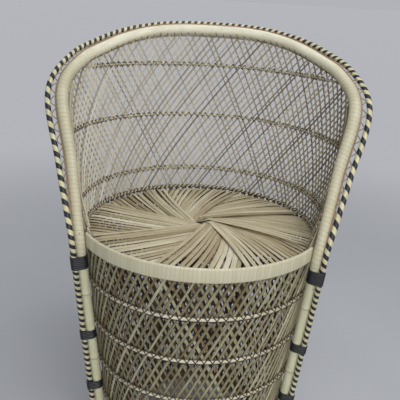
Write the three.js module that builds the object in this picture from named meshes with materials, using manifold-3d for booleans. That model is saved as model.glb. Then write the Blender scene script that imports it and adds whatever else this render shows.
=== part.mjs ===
// Wicker barrel chair: a rattan pole frame, a drum and back of crossed splints, and a pinwheel seat.
// Millimetres, +Z up, front towards -Y, left and right as seen from the front.

import * as THREE from "three";
import { mergeVertices } from "three/addons/utils/BufferGeometryUtils.js";
import Module from "manifold-3d";

const wasm = await Module();
wasm.setup();

// Heights above the floor
const SEAT_HEIGHT = 450; // top of the wrapped front rail
const SHOULDER_HEIGHT = 682; // rim where it leaves the posts
const RIM_HEIGHT = 749; // rim at the middle of the back
const SHOULDER_BEND = 25; // drop over which a post turns into the rim
const RIM_FALL = 1.7; // how fast the rim falls from its middle to the shoulders

// Plan sizes about the axis of the drum
const DRUM_FOOT_RADIUS = 156;
const DRUM_SEAT_RADIUS = 206;
const RIM_HALF_WIDTH = 248;
const RIM_BACK_DEPTH = 230;

// Angles of the front legs round the drum, forward of straight sideways
const LEG_FOOT_ANGLE = -26;
const LEG_SEAT_ANGLE = -31;
const POST_TOP_ANGLE = 5;

// Rattan poles
const RIM_POLE_RADIUS = 10.5;
const LEG_RADIUS = 8;
const HOOP_POLE_RADIUS = 9;
const REAR_LEG_RADIUS = 8;
const REAR_LEG_ANGLE = 55;
const BRACE_RADIUS = 7;
const DOWEL_RADIUS = 4;
const DOWEL_LENGTH = 44;

// Crossed splints
const SPLINT_WIDTH = 4.5;
const SPLINT_THICKNESS = 1.8;
const SPLINT_COUNT = 32; // round the drum, leaning each way
const DRUM_LEAN = 23; // degrees from upright
const BACK_LEAN_RIGHT = 36;
const BACK_LEAN_LEFT = 26;

// Reeds
const DRUM_HOOP_COUNT = 4;
const DRUM_HOOP_DROP = 67; // first hoop below the rail
const DRUM_HOOP_PITCH = 82;
const DRUM_HOOP_RADIUS = 2.8;
const BACK_HOOP_RADIUS = 2.2;
const BACK_HOOP_RISES = [0.085, 0.45, 0.78]; // shares of the height of the back

// Flat binders that gather the ends of one layer's splints
const BINDER_WIDTH = 6;
const BINDER_COVER = 0.3; // how far a binder stands out past the faces of the splints it holds

// Wrapped front rail and twisted edging of the seat
const RAIL_HEIGHT = 24;
const RAIL_WALL = 5.6;
const EDGING_RADIUS = 3;

// Pinwheel seat
const FAN_COUNT = 8;
const FAN_SPLINTS = 9;
const FAN_START_ANGLE = 203;
const FAN_SPLINT_WIDTH = 8.5;
const FAN_SPLINT_THICKNESS = 1.5;
const FAN_INNER_REACH = 14; // distance at which the first splint of a fan passes the middle
const FAN_OUTER_REACH = 72; // the same for its last splint
const FAN_RIM_TILT = 1.2;
const FAN_HUB_TILT = 5.6;
const FAN_HUB_GAP = 10; // splints stop this far short of their closest point to the middle
const SEAT_DROP = 18; // seat surface below the top of the rail

// Edging rod and black bindings
const ROD_RADIUS = 4.8;
const ROD_SPREAD = 9; // widest gap between post and rod
const ROD_FOOT_GAP = 4;
const BINDING_WALL = 1.5;
const SEAT_BINDING_DROP = 47; // from the rail's top to the middle of the binding over the splice
const SEAT_BINDING_HEIGHT = 25;
const LEG_BINDING_RISES = [0.573, 0.329, 0.089]; // shares of the seat's height
const LEG_BINDING_HEIGHT = 17;

// Fits and facets
const CLEARANCE = 0.3;
const POLE_SIDES = 8;
const REED_SIDES = 4;
const HOOP_SEGMENTS = 32;

const UP = new THREE.Vector3(0, 0, 1);
const HALF_TURN = Math.PI;

const rad = THREE.MathUtils.degToRad;
const lerp = THREE.MathUtils.lerp;

// Materials
const finish = (color, roughness) => new THREE.MeshStandardMaterial({ color, roughness, metalness: 0 });
const WRAPPED_RATTAN = finish(0xded6b0, 0.55);
const BARE_RATTAN = finish(0xb99a63, 0.6);
const SPLINT_TAN = finish(0x9b8a68, 0.7);
const HOOP_REED = finish(0xcabb90, 0.6);
const SEAT_STRAW = finish(0xc8b991, 0.65);
const DARK_PEEL = finish(0x1d2128, 0.45);
const DOWEL_WOOD = finish(0xb08d5a, 0.7);

// Point at a radius, angle and height about the drum's axis
function polar(radius, angle, z) {
  return new THREE.Vector3(radius * Math.cos(angle), radius * Math.sin(angle), z);
}

function drumRadius(z) {
  return lerp(DRUM_FOOT_RADIUS, DRUM_SEAT_RADIUS, z / SEAT_HEIGHT);
}

function rimRadius(angle) {
  const across = RIM_BACK_DEPTH * Math.cos(angle);
  const back = RIM_HALF_WIDTH * Math.sin(angle);
  return (RIM_HALF_WIDTH * RIM_BACK_DEPTH) / Math.hypot(across, back);
}

// Height of the rim, level with the shoulders forward of straight sideways
function rimHeight(angle) {
  const back = Math.max(Math.sin(angle), 0);
  return RIM_HEIGHT - (RIM_HEIGHT - SHOULDER_HEIGHT) * (1 - back ** 2) ** RIM_FALL;
}

// Surface on which the two layers of splints meet: a cone below the seat, flaring to the rim above it
function shellRadius(angle, z) {
  if (z <= SEAT_HEIGHT) return drumRadius(z);
  const climb = (z - SEAT_HEIGHT) / (rimHeight(angle) - SEAT_HEIGHT);
  return lerp(DRUM_SEAT_RADIUS, rimRadius(angle), climb);
}

// Outward direction of that surface, from neighbouring points on it
function shellNormal(angle, z) {
  const turn = 0.01;
  const rise = 1;
  const point = (a, h) => polar(shellRadius(a, h), a, h);
  const across = point(angle + turn, z).sub(point(angle - turn, z));
  const upward = point(angle, z + rise).sub(point(angle, z - rise));
  return across.cross(upward).normalize();
}

// Point a given distance outside that surface
function shellPoint(angle, z, offset) {
  return polar(shellRadius(angle, z), angle, z).addScaledVector(shellNormal(angle, z), offset);
}

// Closed solid through rings of points, each ring counterclockwise about the direction of travel
function loft(rings, capFaces) {
  const size = rings[0].length;
  const last = (rings.length - 1) * size;
  const index = [];
  for (let i = 0; i + 1 < rings.length; i++) {
    for (let j = 0; j < size; j++) {
      const a = i * size + j;
      const b = i * size + ((j + 1) % size);
      index.push(a, b, b + size, a, b + size, a + size);
    }
  }
  for (const [a, b, c] of capFaces ?? fanFaces(size)) {
    index.push(a, c, b, last + a, last + b, last + c);
  }
  const geometry = new THREE.BufferGeometry().setFromPoints(rings.flat());
  geometry.setIndex(index);
  return geometry;
}

function fanFaces(size) {
  return Array.from({ length: size - 2 }, (_, i) => [0, i + 1, i + 2]);
}

function ringAround(center, across, upward, radius, sides) {
  return Array.from({ length: sides }, (_, i) => {
    const turn = ((i + 0.5) / sides) * 2 * HALF_TURN;
    return center
      .clone()
      .addScaledVector(across, radius * Math.cos(turn))
      .addScaledVector(upward, radius * Math.sin(turn));
  });
}

// Round bar along a curve, its radius given for each share of the length
function roundBar(curve, steps, sides, radiusAt) {
  const frames = curve.computeFrenetFrames(steps, false);
  const rings = [];
  for (let i = 0; i <= steps; i++) {
    const center = curve.getPointAt(i / steps);
    rings.push(ringAround(center, frames.normals[i], frames.binormals[i], radiusAt(i / steps), sides));
  }
  return { rings, tangents: frames.tangents };
}

function tube(curve, steps, sides, radius) {
  return loft(roundBar(curve, steps, sides, () => radius).rings);
}

// Flat strip along a path, lying on the faces whose outward directions are given
function strip(path, outward, width, thickness) {
  const rings = path.map((point, i) => {
    const before = path[Math.max(i - 1, 0)];
    const after = path[Math.min(i + 1, path.length - 1)];
    const along = after.clone().sub(before).normalize();
    const across = outward[i].clone().cross(along).normalize();
    const lift = along.clone().cross(across).multiplyScalar(thickness / 2);
    across.multiplyScalar(width / 2);
    const left = point.clone().sub(across);
    const right = point.clone().add(across);
    return [right.clone().add(lift), left.clone().add(lift), left.sub(lift), right.sub(lift)];
  });
  return loft(rings);
}

// Solids for joining and cutting
function solidOf(geometry) {
  const bare = new THREE.BufferGeometry();
  bare.setAttribute("position", geometry.getAttribute("position"));
  bare.setIndex(geometry.getIndex());
  const merged = mergeVertices(bare);
  return new wasm.Manifold(
    new wasm.Mesh({
      numProp: 3,
      vertProperties: new Float32Array(merged.getAttribute("position").array),
      triVerts: new Uint32Array(merged.getIndex().array),
    }),
  );
}

function geometryOf(solid) {
  const mesh = solid.getMesh();
  const geometry = new THREE.BufferGeometry();
  geometry.setAttribute("position", new THREE.BufferAttribute(mesh.vertProperties, 3));
  geometry.setIndex(new THREE.BufferAttribute(mesh.triVerts, 1));
  return geometry;
}

function joined(first, others) {
  return geometryOf(others.reduce((sum, piece) => sum.add(solidOf(piece)), solidOf(first)));
}

function cutFrom(body, tools) {
  return geometryOf(tools.reduce((rest, tool) => rest.subtract(solidOf(tool)), solidOf(body)));
}

const chair = new THREE.Group();

function add(name, geometry, material, place) {
  const mesh = new THREE.Mesh(geometry, material);
  mesh.name = name;
  if (place) mesh.applyMatrix4(place);
  chair.add(mesh);
}

// Heights of the levels that the frame and the weave share
const seatZ = SEAT_HEIGHT - SEAT_DROP;
const hoopPoleZ = seatZ - FAN_RIM_TILT - CLEARANCE - HOOP_POLE_RADIUS;
const railFoot = SEAT_HEIGHT - RAIL_HEIGHT;
const drumTop = SEAT_HEIGHT - RAIL_HEIGHT / 2;
const floorHoopZ = HOOP_POLE_RADIUS * Math.cos(HALF_TURN / POLE_SIDES);
const drumHoopZ = Array.from(
  { length: DRUM_HOOP_COUNT },
  (_, k) => railFoot - DRUM_HOOP_DROP - k * DRUM_HOOP_PITCH,
);
const backHoopZ = BACK_HOOP_RISES.map((share) => lerp(SEAT_HEIGHT, RIM_HEIGHT, share));

// Turn of the splints per millimetre of height
const drumTurn = Math.tan(rad(DRUM_LEAN)) / ((DRUM_FOOT_RADIUS + DRUM_SEAT_RADIUS) / 2);
const backMeanRadius = (DRUM_SEAT_RADIUS + RIM_BACK_DEPTH) / 2;
const backTurnLeft = Math.tan(rad(BACK_LEAN_LEFT)) / backMeanRadius;
const backTurnRight = Math.tan(rad(BACK_LEAN_RIGHT)) / backMeanRadius;

// Levels at which back splints bend: at each hoop and halfway between hoops
const backLevels = backHoopZ.flatMap((z, k) => (k === 0 ? [z] : [(backHoopZ[k - 1] + z) / 2, z]));
const backSteps = [...backLevels, RIM_HEIGHT].map((z, k) => z - (backLevels[k - 1] ?? SEAT_HEIGHT));
const chordSag = RIM_HALF_WIDTH * (1 - Math.cos((backTurnLeft * Math.max(...backSteps)) / 2));

// Radial offsets from the shell: the layers, then what lies outside and inside them
const layerGap = BINDER_COVER + CLEARANCE + Math.max(chordSag, BINDER_COVER);
const layerOffset = (SPLINT_THICKNESS + layerGap) / 2;
const binderThickness = SPLINT_THICKNESS + 2 * BINDER_COVER;
const weaveDepth = layerOffset + binderThickness / 2;
const segmentSag = 1 - Math.cos(HALF_TURN / HOOP_SEGMENTS);
const drumHoopOffset = weaveDepth + DRUM_HOOP_RADIUS + DRUM_SEAT_RADIUS * segmentSag;
const legOffset = drumHoopOffset + DRUM_HOOP_RADIUS + 2 * CLEARANCE + LEG_RADIUS;
const hoopPoleRadius = drumRadius(hoopPoleZ) - weaveDepth - CLEARANCE - HOOP_POLE_RADIUS;
const floorHoopRadius = drumRadius(floorHoopZ) - layerOffset - CLEARANCE - HOOP_POLE_RADIUS;

// Centre line of the poles: right foot, leg, post, rim, and the same mirrored down to the left foot
function legPoint(z) {
  const angle = lerp(LEG_FOOT_ANGLE, LEG_SEAT_ANGLE, z / SEAT_HEIGHT);
  return polar(drumRadius(z) + legOffset, rad(angle), z);
}

function postPoint(share) {
  const angle = rad(POST_TOP_ANGLE);
  const top = polar(rimRadius(angle), angle, SHOULDER_HEIGHT - SHOULDER_BEND);
  return legPoint(SEAT_HEIGHT).lerp(top, share);
}

function rimPoint(angle) {
  return polar(rimRadius(angle), angle, rimHeight(angle));
}

function mirrored(points) {
  const left = points.map((p) => new THREE.Vector3(-p.x, p.y, p.z)).reverse();
  return [...points, ...left];
}

const legRun = [0, 0.25, 0.5, 0.75].map((share) => legPoint(share * SEAT_HEIGHT));
const postRun = [0, 0.5, 1].map((share) => postPoint(share));
const rimRun = [22, 34, 47, 60, 74].map((angle) => rimPoint(rad(angle)));
const backMiddle = rimPoint(HALF_TURN / 2);
const halfPole = [...legRun, ...postRun, ...rimRun];
const polePath = new THREE.CatmullRomCurve3([
  ...halfPole,
  backMiddle,
  ...mirrored(halfPole).slice(halfPole.length),
]);
polePath.arcLengthDivisions = 800;

// Stretch of a curve between two shares of its length
class Stretch extends THREE.Curve {
  constructor(curve, from, to) {
    super();
    this.curve = curve;
    this.from = from;
    this.to = to;
  }

  getPoint(t, target = new THREE.Vector3()) {
    return this.curve.getPointAt(lerp(this.from, this.to, t), target);
  }
}

// Share of the pole's length at which its right half reaches a height
function poleShareAt(z) {
  let low = 0;
  let high = 0.5;
  for (let i = 0; i < 40; i++) {
    const middle = (low + high) / 2;
    if (polePath.getPointAt(middle).z < z) low = middle;
    else high = middle;
  }
  return low;
}

const LINE_SAMPLES = 600;
const poleLine = polePath.getSpacedPoints(LINE_SAMPLES);
const poleLength = polePath.getLength();

function distanceTo(line, point) {
  return Math.min(...line.map((p) => p.distanceTo(point)));
}

// Angle of the right half of the pole at a height: the edge of the back
function poleAngleAt(z) {
  const point = polePath.getPointAt(poleShareAt(z));
  return Math.atan2(point.y, point.x);
}

// Rim bow and legs, spliced on dowels under the seat bindings
const seatBindingZ = SEAT_HEIGHT - SEAT_BINDING_DROP;
const spliceShare = poleShareAt(seatBindingZ);
const spliceGap = CLEARANCE / 2 / poleLength;
const shoulderShare = poleShareAt(SHOULDER_HEIGHT);

// The bow thickens from the legs' size at the splice to its full size at the shoulder
function bowRadius(share) {
  const end = Math.min(share, 1 - share);
  const climb = THREE.MathUtils.smoothstep(end, spliceShare, shoulderShare);
  return lerp(LEG_RADIUS, RIM_POLE_RADIUS, climb);
}

function spliceDowel(share, radius, length) {
  const half = length / 2 / poleLength;
  return tube(new Stretch(polePath, share - half, share + half), 1, POLE_SIDES, radius);
}

const BOW_STEPS = 46;
const LEG_STEPS = 6;

function rimBow() {
  const from = spliceShare + spliceGap;
  const stretch = new Stretch(polePath, from, 1 - from);
  const bar = roundBar(stretch, BOW_STEPS, POLE_SIDES, (t) => bowRadius(lerp(from, 1 - from, t)));
  const bores = [spliceShare, 1 - spliceShare].map((share) =>
    spliceDowel(share, DOWEL_RADIUS + CLEARANCE, DOWEL_LENGTH + 2 * CLEARANCE),
  );
  return cutFrom(loft(bar.rings), bores);
}

// A leg is cut level at the floor
function frontLeg(footShare, topShare, splice) {
  const bar = roundBar(new Stretch(polePath, footShare, topShare), LEG_STEPS, POLE_SIDES, () => LEG_RADIUS);
  const along = bar.tangents[0];
  for (const point of bar.rings[0]) point.addScaledVector(along, -point.z / along.z);
  const bore = spliceDowel(splice, DOWEL_RADIUS + CLEARANCE, DOWEL_LENGTH + 2 * CLEARANCE);
  return cutFrom(loft(bar.rings), [bore]);
}

add("rim_bow", rimBow(), WRAPPED_RATTAN);
add("right_front_leg", frontLeg(0, spliceShare - spliceGap, spliceShare), WRAPPED_RATTAN);
add("left_front_leg", frontLeg(1, 1 - spliceShare + spliceGap, 1 - spliceShare), WRAPPED_RATTAN);
add("right_splice_dowel", spliceDowel(spliceShare, DOWEL_RADIUS, DOWEL_LENGTH), DOWEL_WOOD);
add("left_splice_dowel", spliceDowel(1 - spliceShare, DOWEL_RADIUS, DOWEL_LENGTH), DOWEL_WOOD);

// Closed profile of radius and height turned about the axis, with a corner straight to the right
function latheAboutZ(profile, segments) {
  return new THREE.LatheGeometry(profile, segments, HALF_TURN / 2).rotateX(HALF_TURN / 2);
}

// Round hoop of pole, its section turned so that a flat side lies below
function poleHoop(radius, z) {
  const profile = Array.from({ length: POLE_SIDES + 1 }, (_, i) => {
    const turn = ((i + 0.5) / POLE_SIDES) * 2 * HALF_TURN;
    return new THREE.Vector2(radius + HOOP_POLE_RADIUS * Math.cos(turn), z + HOOP_POLE_RADIUS * Math.sin(turn));
  });
  return latheAboutZ(profile, HOOP_SEGMENTS);
}

add("seat_hoop", poleHoop(hoopPoleRadius, hoopPoleZ), BARE_RATTAN);
add("floor_hoop", poleHoop(floorHoopRadius, floorHoopZ), BARE_RATTAN);

// Rear legs stand inside the floor hoop and carry the seat hoop
const hoopPoleHalf = HOOP_POLE_RADIUS * Math.cos(HALF_TURN / POLE_SIDES);
const rearLegTop = hoopPoleZ - hoopPoleHalf - CLEARANCE;
const floorHoopMouth = floorHoopRadius * (1 - segmentSag) - HOOP_POLE_RADIUS - CLEARANCE;
const rearLegTopRadius = drumRadius(rearLegTop) - weaveDepth - REAR_LEG_RADIUS - 2 * CLEARANCE;
const rearLegPassRadius = floorHoopMouth - REAR_LEG_RADIUS;
const rearLegPassZ = 2 * floorHoopZ;
const rearLegSplay = (rearLegTopRadius - rearLegPassRadius) / (rearLegTop - rearLegPassZ);
const rearLegFootRadius = rearLegPassRadius - rearLegSplay * rearLegPassZ;

function rearLeg(angle) {
  const across = new THREE.Vector3(1, 0, 0);
  const back = new THREE.Vector3(0, 1, 0);
  const ends = [polar(rearLegFootRadius, angle, 0), polar(rearLegTopRadius, angle, rearLegTop)];
  return loft(ends.map((end) => ringAround(end, across, back, REAR_LEG_RADIUS, POLE_SIDES)));
}

add("right_rear_leg", rearLeg(rad(REAR_LEG_ANGLE)), BARE_RATTAN);
add("left_rear_leg", rearLeg(HALF_TURN - rad(REAR_LEG_ANGLE)), BARE_RATTAN);

// Cross braces lie under the seat hoop and are halved where they cross
const braceZ = rearLegTop - BRACE_RADIUS;
const braceHalf = hoopPoleRadius;

function brace(direction, side) {
  const ends = [-braceHalf, braceHalf].map((reach) => direction.clone().multiplyScalar(reach).setZ(braceZ));
  const across = UP.clone().cross(direction);
  const body = loft(ends.map((end) => ringAround(end, across, UP, BRACE_RADIUS, POLE_SIDES)));
  const lap = 2 * (BRACE_RADIUS + CLEARANCE);
  const notch = new THREE.BoxGeometry(lap, lap, lap);
  notch.translate(0, 0, braceZ + side * (lap / 2 - CLEARANCE / 2));
  return cutFrom(body, [notch]);
}

add("cross_brace", brace(new THREE.Vector3(1, 0, 0), 1), BARE_RATTAN);
add("long_brace", brace(new THREE.Vector3(0, 1, 0), -1), BARE_RATTAN);

// Splint of the weave: side 1 is the outer layer, side -1 the inner one
function weaveSplint(angleAt, levels, side) {
  const path = levels.map((z) => shellPoint(angleAt(z), z, side * layerOffset));
  const outward = levels.map((z) => shellNormal(angleAt(z), z));
  return strip(path, outward, SPLINT_WIDTH, SPLINT_THICKNESS);
}

// Flat ring in one layer of the drum, with a corner at each splint
function binderRing(z, phase, side) {
  const corner = (height, depth) => new THREE.Vector2(drumRadius(height) + side * layerOffset + depth, height);
  const half = binderThickness / 2;
  const [foot, top] = [z - BINDER_WIDTH / 2, z + BINDER_WIDTH / 2];
  const profile = [corner(foot, half), corner(top, half), corner(top, -half), corner(foot, -half), corner(foot, half)];
  return latheAboutZ(profile, SPLINT_COUNT).rotateZ(phase);
}

// Drum: splints of the outer layer climb to the right seen from outside, those of the inner to the left
const drumFoot = floorHoopZ;
const splintPitch = (2 * HALF_TURN) / SPLINT_COUNT;
const splintPhase = rad(LEG_SEAT_ANGLE) + splintPitch / 2;

// The binder of the outer layer lies at the floor, that of the inner layer behind the rail
function drumWeave(side, binderZ) {
  const angleAt = (z) => splintPhase + side * drumTurn * (z - drumTop);
  const levels = [drumFoot, ...drumHoopZ.toReversed(), drumTop];
  const splints = Array.from({ length: SPLINT_COUNT }, (_, k) =>
    weaveSplint((z) => angleAt(z) + k * splintPitch, levels, side),
  );
  return joined(binderRing(binderZ, angleAt(binderZ), side), splints);
}

add("drum_splints_outer", drumWeave(1, drumFoot), SPLINT_TAN);
add("drum_splints_inner", drumWeave(-1, drumTop), SPLINT_TAN);

drumHoopZ.forEach((z, k) => {
  const radius = drumRadius(z) + drumHoopOffset;
  const hoop = new THREE.TorusGeometry(radius, DRUM_HOOP_RADIUS, REED_SIDES, HOOP_SEGMENTS);
  add(`drum_hoop_${k + 1}`, hoop.translate(0, 0, z), HOOP_REED);
});

// Back: a flat binder follows the inner edge of the posts and rim, and each splint ends in it
const backFoot = drumTop + BINDER_WIDTH / 2 + CLEARANCE + SPLINT_WIDTH / 2;
const binderEdge = RIM_POLE_RADIUS + 2 * CLEARANCE + BINDER_WIDTH / 2;
const binderFoot = SEAT_HEIGHT + BINDER_WIDTH;
const BINDER_STEPS = 72;

function edgeBinder(side) {
  const from = poleShareAt(binderFoot);
  const path = [];
  const outward = [];
  for (let i = 0; i <= BINDER_STEPS; i++) {
    const share = lerp(from, 1 - from, i / BINDER_STEPS);
    const center = polePath.getPointAt(share);
    const radial = center.clone().setZ(0).normalize();
    const inward = polePath.getTangentAt(share).cross(radial).normalize();
    const edge = center.addScaledVector(inward, binderEdge);
    const angle = Math.atan2(edge.y, edge.x);
    path.push(shellPoint(angle, edge.z, side * layerOffset));
    outward.push(shellNormal(angle, edge.z));
  }
  return strip(path, outward, BINDER_WIDTH, binderThickness);
}

const SHORTEST_SPLINT = 25;
const RUN_STEP = 1.5;

// Heights of the longest stretch in which a leaning splint stays inside the edge of the back
function backRun(angleAt) {
  let longest = [];
  let stretch = [];
  for (let z = backFoot; z < RIM_HEIGHT; z += RUN_STEP) {
    const angle = angleAt(z);
    const edge = poleAngleAt(z);
    const between = angle >= edge && angle <= HALF_TURN - edge;
    const clear = distanceTo(poleLine, polar(shellRadius(angle, z), angle, z)) > binderEdge;
    stretch = between && clear ? [...stretch, z] : [];
    if (stretch.length > longest.length) longest = stretch;
  }
  return longest.length ? [longest[0], longest.at(-1)] : null;
}

function backWeave(side) {
  const turn = side > 0 ? backTurnLeft : -backTurnRight;
  const splints = [];
  for (let k = -SPLINT_COUNT; k < SPLINT_COUNT; k++) {
    const angleAt = (z) => splintPhase + k * splintPitch + turn * (z - drumTop);
    const run = backRun(angleAt);
    if (!run || run[1] - run[0] < SHORTEST_SPLINT) continue;
    const inner = backLevels.filter((z) => z > run[0] + 1 && z < run[1] - 1);
    splints.push(weaveSplint(angleAt, [run[0], ...inner, run[1]], side));
  }
  return joined(edgeBinder(side), splints);
}

add("back_splints_outer", backWeave(1), SPLINT_TAN);
add("back_splints_inner", backWeave(-1), SPLINT_TAN);

// Back hoops run outside the weave and stop at the edge binder
const BACK_HOOP_STEPS = 24;

function backHoop(z) {
  const sag = RIM_HALF_WIDTH * (1 - Math.cos(HALF_TURN / BACK_HOOP_STEPS / 2));
  const offset = weaveDepth + (z < SHOULDER_HEIGHT ? 2 : 0) * CLEARANCE + BACK_HOOP_RADIUS + sag;
  const clear = binderEdge + BINDER_WIDTH / 2;
  const at = (angle) => shellPoint(angle, z, offset);
  let end = HALF_TURN / 2;
  while (end > poleAngleAt(z) && distanceTo(poleLine, at(end)) > clear) end -= rad(0.25);
  const points = Array.from({ length: 13 }, (_, i) => at(lerp(end, HALF_TURN - end, i / 12)));
  return tube(new THREE.CatmullRomCurve3(points), BACK_HOOP_STEPS, REED_SIDES, BACK_HOOP_RADIUS);
}

backHoopZ.forEach((z, k) => add(`back_hoop_${k + 1}`, backHoop(z), HOOP_REED));

// Front rail: a flat wrapped band with a rounded top, standing outside the tops of the drum splints
const RAIL_STEPS = 20;
const RAIL_TOP_FACETS = 3;

function arcPoints(center, radius, from, to, count) {
  return Array.from({ length: count + 1 }, (_, i) => {
    const turn = rad(lerp(from, to, i / count));
    return new THREE.Vector2(center.x + radius * Math.cos(turn), center.y + radius * Math.sin(turn));
  });
}

function frontRail() {
  const inside = (DRUM_SEAT_RADIUS + layerOffset + CLEARANCE) * (1 + segmentSag / 2);
  const crown = new THREE.Vector2(inside + RAIL_WALL / 2, SEAT_HEIGHT - RAIL_WALL / 2);
  const section = [
    new THREE.Vector2(inside, railFoot),
    new THREE.Vector2(inside + RAIL_WALL, railFoot),
    ...arcPoints(crown, RAIL_WALL / 2, 0, 180, RAIL_TOP_FACETS),
  ];
  const rings = [];
  for (let i = 0; i <= RAIL_STEPS; i++) {
    const angle = rad(lerp(LEG_SEAT_ANGLE, -180 - LEG_SEAT_ANGLE, i / RAIL_STEPS));
    rings.push(section.map((p) => polar(p.x, angle, p.y)));
  }
  return loft(rings);
}

add("front_rail_wrap", frontRail(), WRAPPED_RATTAN);

// Twisted edging cord in the corner between seat and back, from post to post
const EDGING_SETBACK = 3; // degrees

function seatEdging() {
  const z = seatZ + FAN_RIM_TILT + FAN_SPLINT_THICKNESS + CLEARANCE + EDGING_RADIUS;
  const radius = drumRadius(z) - weaveDepth - 2 * CLEARANCE - EDGING_RADIUS;
  const end = LEG_SEAT_ANGLE + EDGING_SETBACK;
  const arc = Array.from({ length: 17 }, (_, i) => polar(radius, rad(lerp(end, 180 - end, i / 16)), z));
  return tube(new THREE.CatmullRomCurve3(arc), BACK_HOOP_STEPS, REED_SIDES, EDGING_RADIUS);
}

add("seat_edging", seatEdging(), BARE_RATTAN);

// Pinwheel seat: the splints of a fan spread at the rim, close up towards the hub and slide under the next fan
const seatRadius = (drumRadius(seatZ) - weaveDepth) * Math.cos(HALF_TURN / SPLINT_COUNT) - CLEARANCE;
const fanAngle = (2 * HALF_TURN) / FAN_COUNT;

// Centre line of a splint, share running across the fan: its rim end, its direction and its length
function fanLine(share) {
  const reach = lerp(FAN_INNER_REACH, FAN_OUTER_REACH, share);
  const slant = Math.asin(reach / seatRadius);
  const rim = seatRadius - (FAN_SPLINT_WIDTH / 2) * Math.sin(slant);
  const start = ((share * (FAN_SPLINTS - 1) + 0.5) / FAN_SPLINTS) * fanAngle;
  const length = rim * Math.cos(slant) - FAN_HUB_GAP;
  return { share, length, start: polar(rim, start, 0), along: polar(1, start + HALF_TURN - slant, 0) };
}

// Point on a splint: run goes along it from rim to hub, side is -1 or 1 at its edges and 0 at its middle
function fanPoint(line, run, side) {
  const across = UP.clone().cross(line.along).multiplyScalar((side * FAN_SPLINT_WIDTH) / 2);
  const tilt = (1 - 2 * line.share) * (FAN_RIM_TILT + (run / line.length) * FAN_HUB_TILT);
  const point = line.start.clone().addScaledVector(line.along, run).add(across);
  return point.setZ(seatZ + tilt);
}

// Run at which a splint closes up with its neighbour
function fanClosing(line, next) {
  const apart = fanPoint(next, 0, 1).sub(fanPoint(line, 0, -1));
  const turn = line.along.clone().cross(next.along).z;
  return apart.clone().cross(next.along).z / turn;
}

function seatFan() {
  const lines = Array.from({ length: FAN_SPLINTS }, (_, i) => fanLine(i / (FAN_SPLINTS - 1)));
  const outline = [];
  lines.forEach((line, i) => {
    outline.push(fanPoint(line, 0, 1), fanPoint(line, 0, -1));
    const next = lines[i + 1];
    if (next) outline.push(fanPoint(line, fanClosing(line, next), -1));
  });
  outline.push(fanPoint(lines.at(-1), lines.at(-1).length, -1));
  for (const line of lines.toReversed()) outline.push(fanPoint(line, line.length, 0));
  outline.push(fanPoint(lines[0], lines[0].length, 1));
  const lift = new THREE.Vector3(0, 0, FAN_SPLINT_THICKNESS);
  const faces = THREE.ShapeUtils.triangulateShape(outline, []);
  return loft([outline, outline.map((point) => point.clone().add(lift))], faces);
}

const fan = seatFan();
for (let k = 0; k < FAN_COUNT; k++) {
  const turn = new THREE.Matrix4().makeRotationZ(rad(FAN_START_ANGLE) + k * fanAngle);
  add(`seat_fan_${k + 1}`, fan, SEAT_STRAW, turn);
}

// Edging rod: hugs the legs, stands off along the posts, and rides behind the top of the rim
const ROD_RETURN = 0.44; // share of the pole's length where the rod is back against it
const rodLeaves = poleShareAt(SEAT_HEIGHT);
const rodClimbs = poleShareAt(SHOULDER_HEIGHT - 2 * SHOULDER_BEND);

function rodPoint(share) {
  const center = polePath.getPointAt(share);
  const end = Math.min(share, 1 - share);
  const rise = THREE.MathUtils.smoothstep(end, rodClimbs, ROD_RETURN);
  const along = polePath.getTangentAt(share);
  const radial = center.clone().setZ(0).normalize();
  const away = radial.addScaledVector(UP, rise);
  away.addScaledVector(along, -away.dot(along)).normalize();
  const post = THREE.MathUtils.clamp((end - rodLeaves) / (ROD_RETURN - rodLeaves), 0, 1);
  const spread = ROD_SPREAD * Math.sin(post * HALF_TURN);
  return center.addScaledVector(away, bowRadius(share) + 2 * CLEARANCE + ROD_RADIUS + spread);
}

const ROD_POINTS = 64;
const ROD_STEPS = 60;
const ROD_SIDES = 5;
const rodFoot = poleShareAt(ROD_FOOT_GAP + ROD_RADIUS);
const rodPath = new THREE.CatmullRomCurve3(
  Array.from({ length: ROD_POINTS + 1 }, (_, i) => rodPoint(lerp(rodFoot, 1 - rodFoot, i / ROD_POINTS))),
);
add("edging_rod", tube(rodPath, ROD_STEPS, ROD_SIDES, ROD_RADIUS), DARK_PEEL);

// Outline round two circles whose centres lie apart along x, with its flats outside the circles
function beltOutline(large, small, apart) {
  const lean = THREE.MathUtils.radToDeg(Math.acos((large - small) / apart));
  const bow = (x, radius, from, to, facets) => {
    const flat = Math.cos(rad((to - from) / facets / 2));
    return arcPoints(new THREE.Vector2(x, 0), radius / flat, from, to, facets);
  };
  return [...bow(apart, small, -lean, lean, 3), ...bow(0, large, lean, 360 - lean, 5)];
}

// Black binding round a leg and the edging rod, centred at a share of the pole's length
function binding(share, height) {
  const center = polePath.getPointAt(share);
  const along = polePath.getTangentAt(share);
  const toRod = rodPoint(share).sub(center);
  toRod.addScaledVector(along, -toRod.dot(along));
  const apart = toRod.length();
  const reach = height / 2 / poleLength;
  const bend = Math.max(
    ...[-reach, reach].map((step) => {
      const straight = center.clone().addScaledVector(along, step * poleLength);
      return polePath.getPointAt(share + step).distanceTo(straight);
    }),
  );
  const large = bowRadius(share) + 2 * CLEARANCE + bend;
  const small = ROD_RADIUS + 3 * CLEARANCE + bend;
  const shape = new THREE.Shape(beltOutline(large + BINDING_WALL, small + BINDING_WALL, apart));
  shape.holes.push(new THREE.Path(beltOutline(large, small, apart)));
  const sleeve = new THREE.ExtrudeGeometry(shape, { depth: height, bevelEnabled: false, curveSegments: 1 });
  sleeve.translate(0, 0, -height / 2);
  const across = toRod.normalize();
  const place = new THREE.Matrix4().makeBasis(across, along.clone().cross(across), along).setPosition(center);
  return sleeve.applyMatrix4(place);
}

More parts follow.
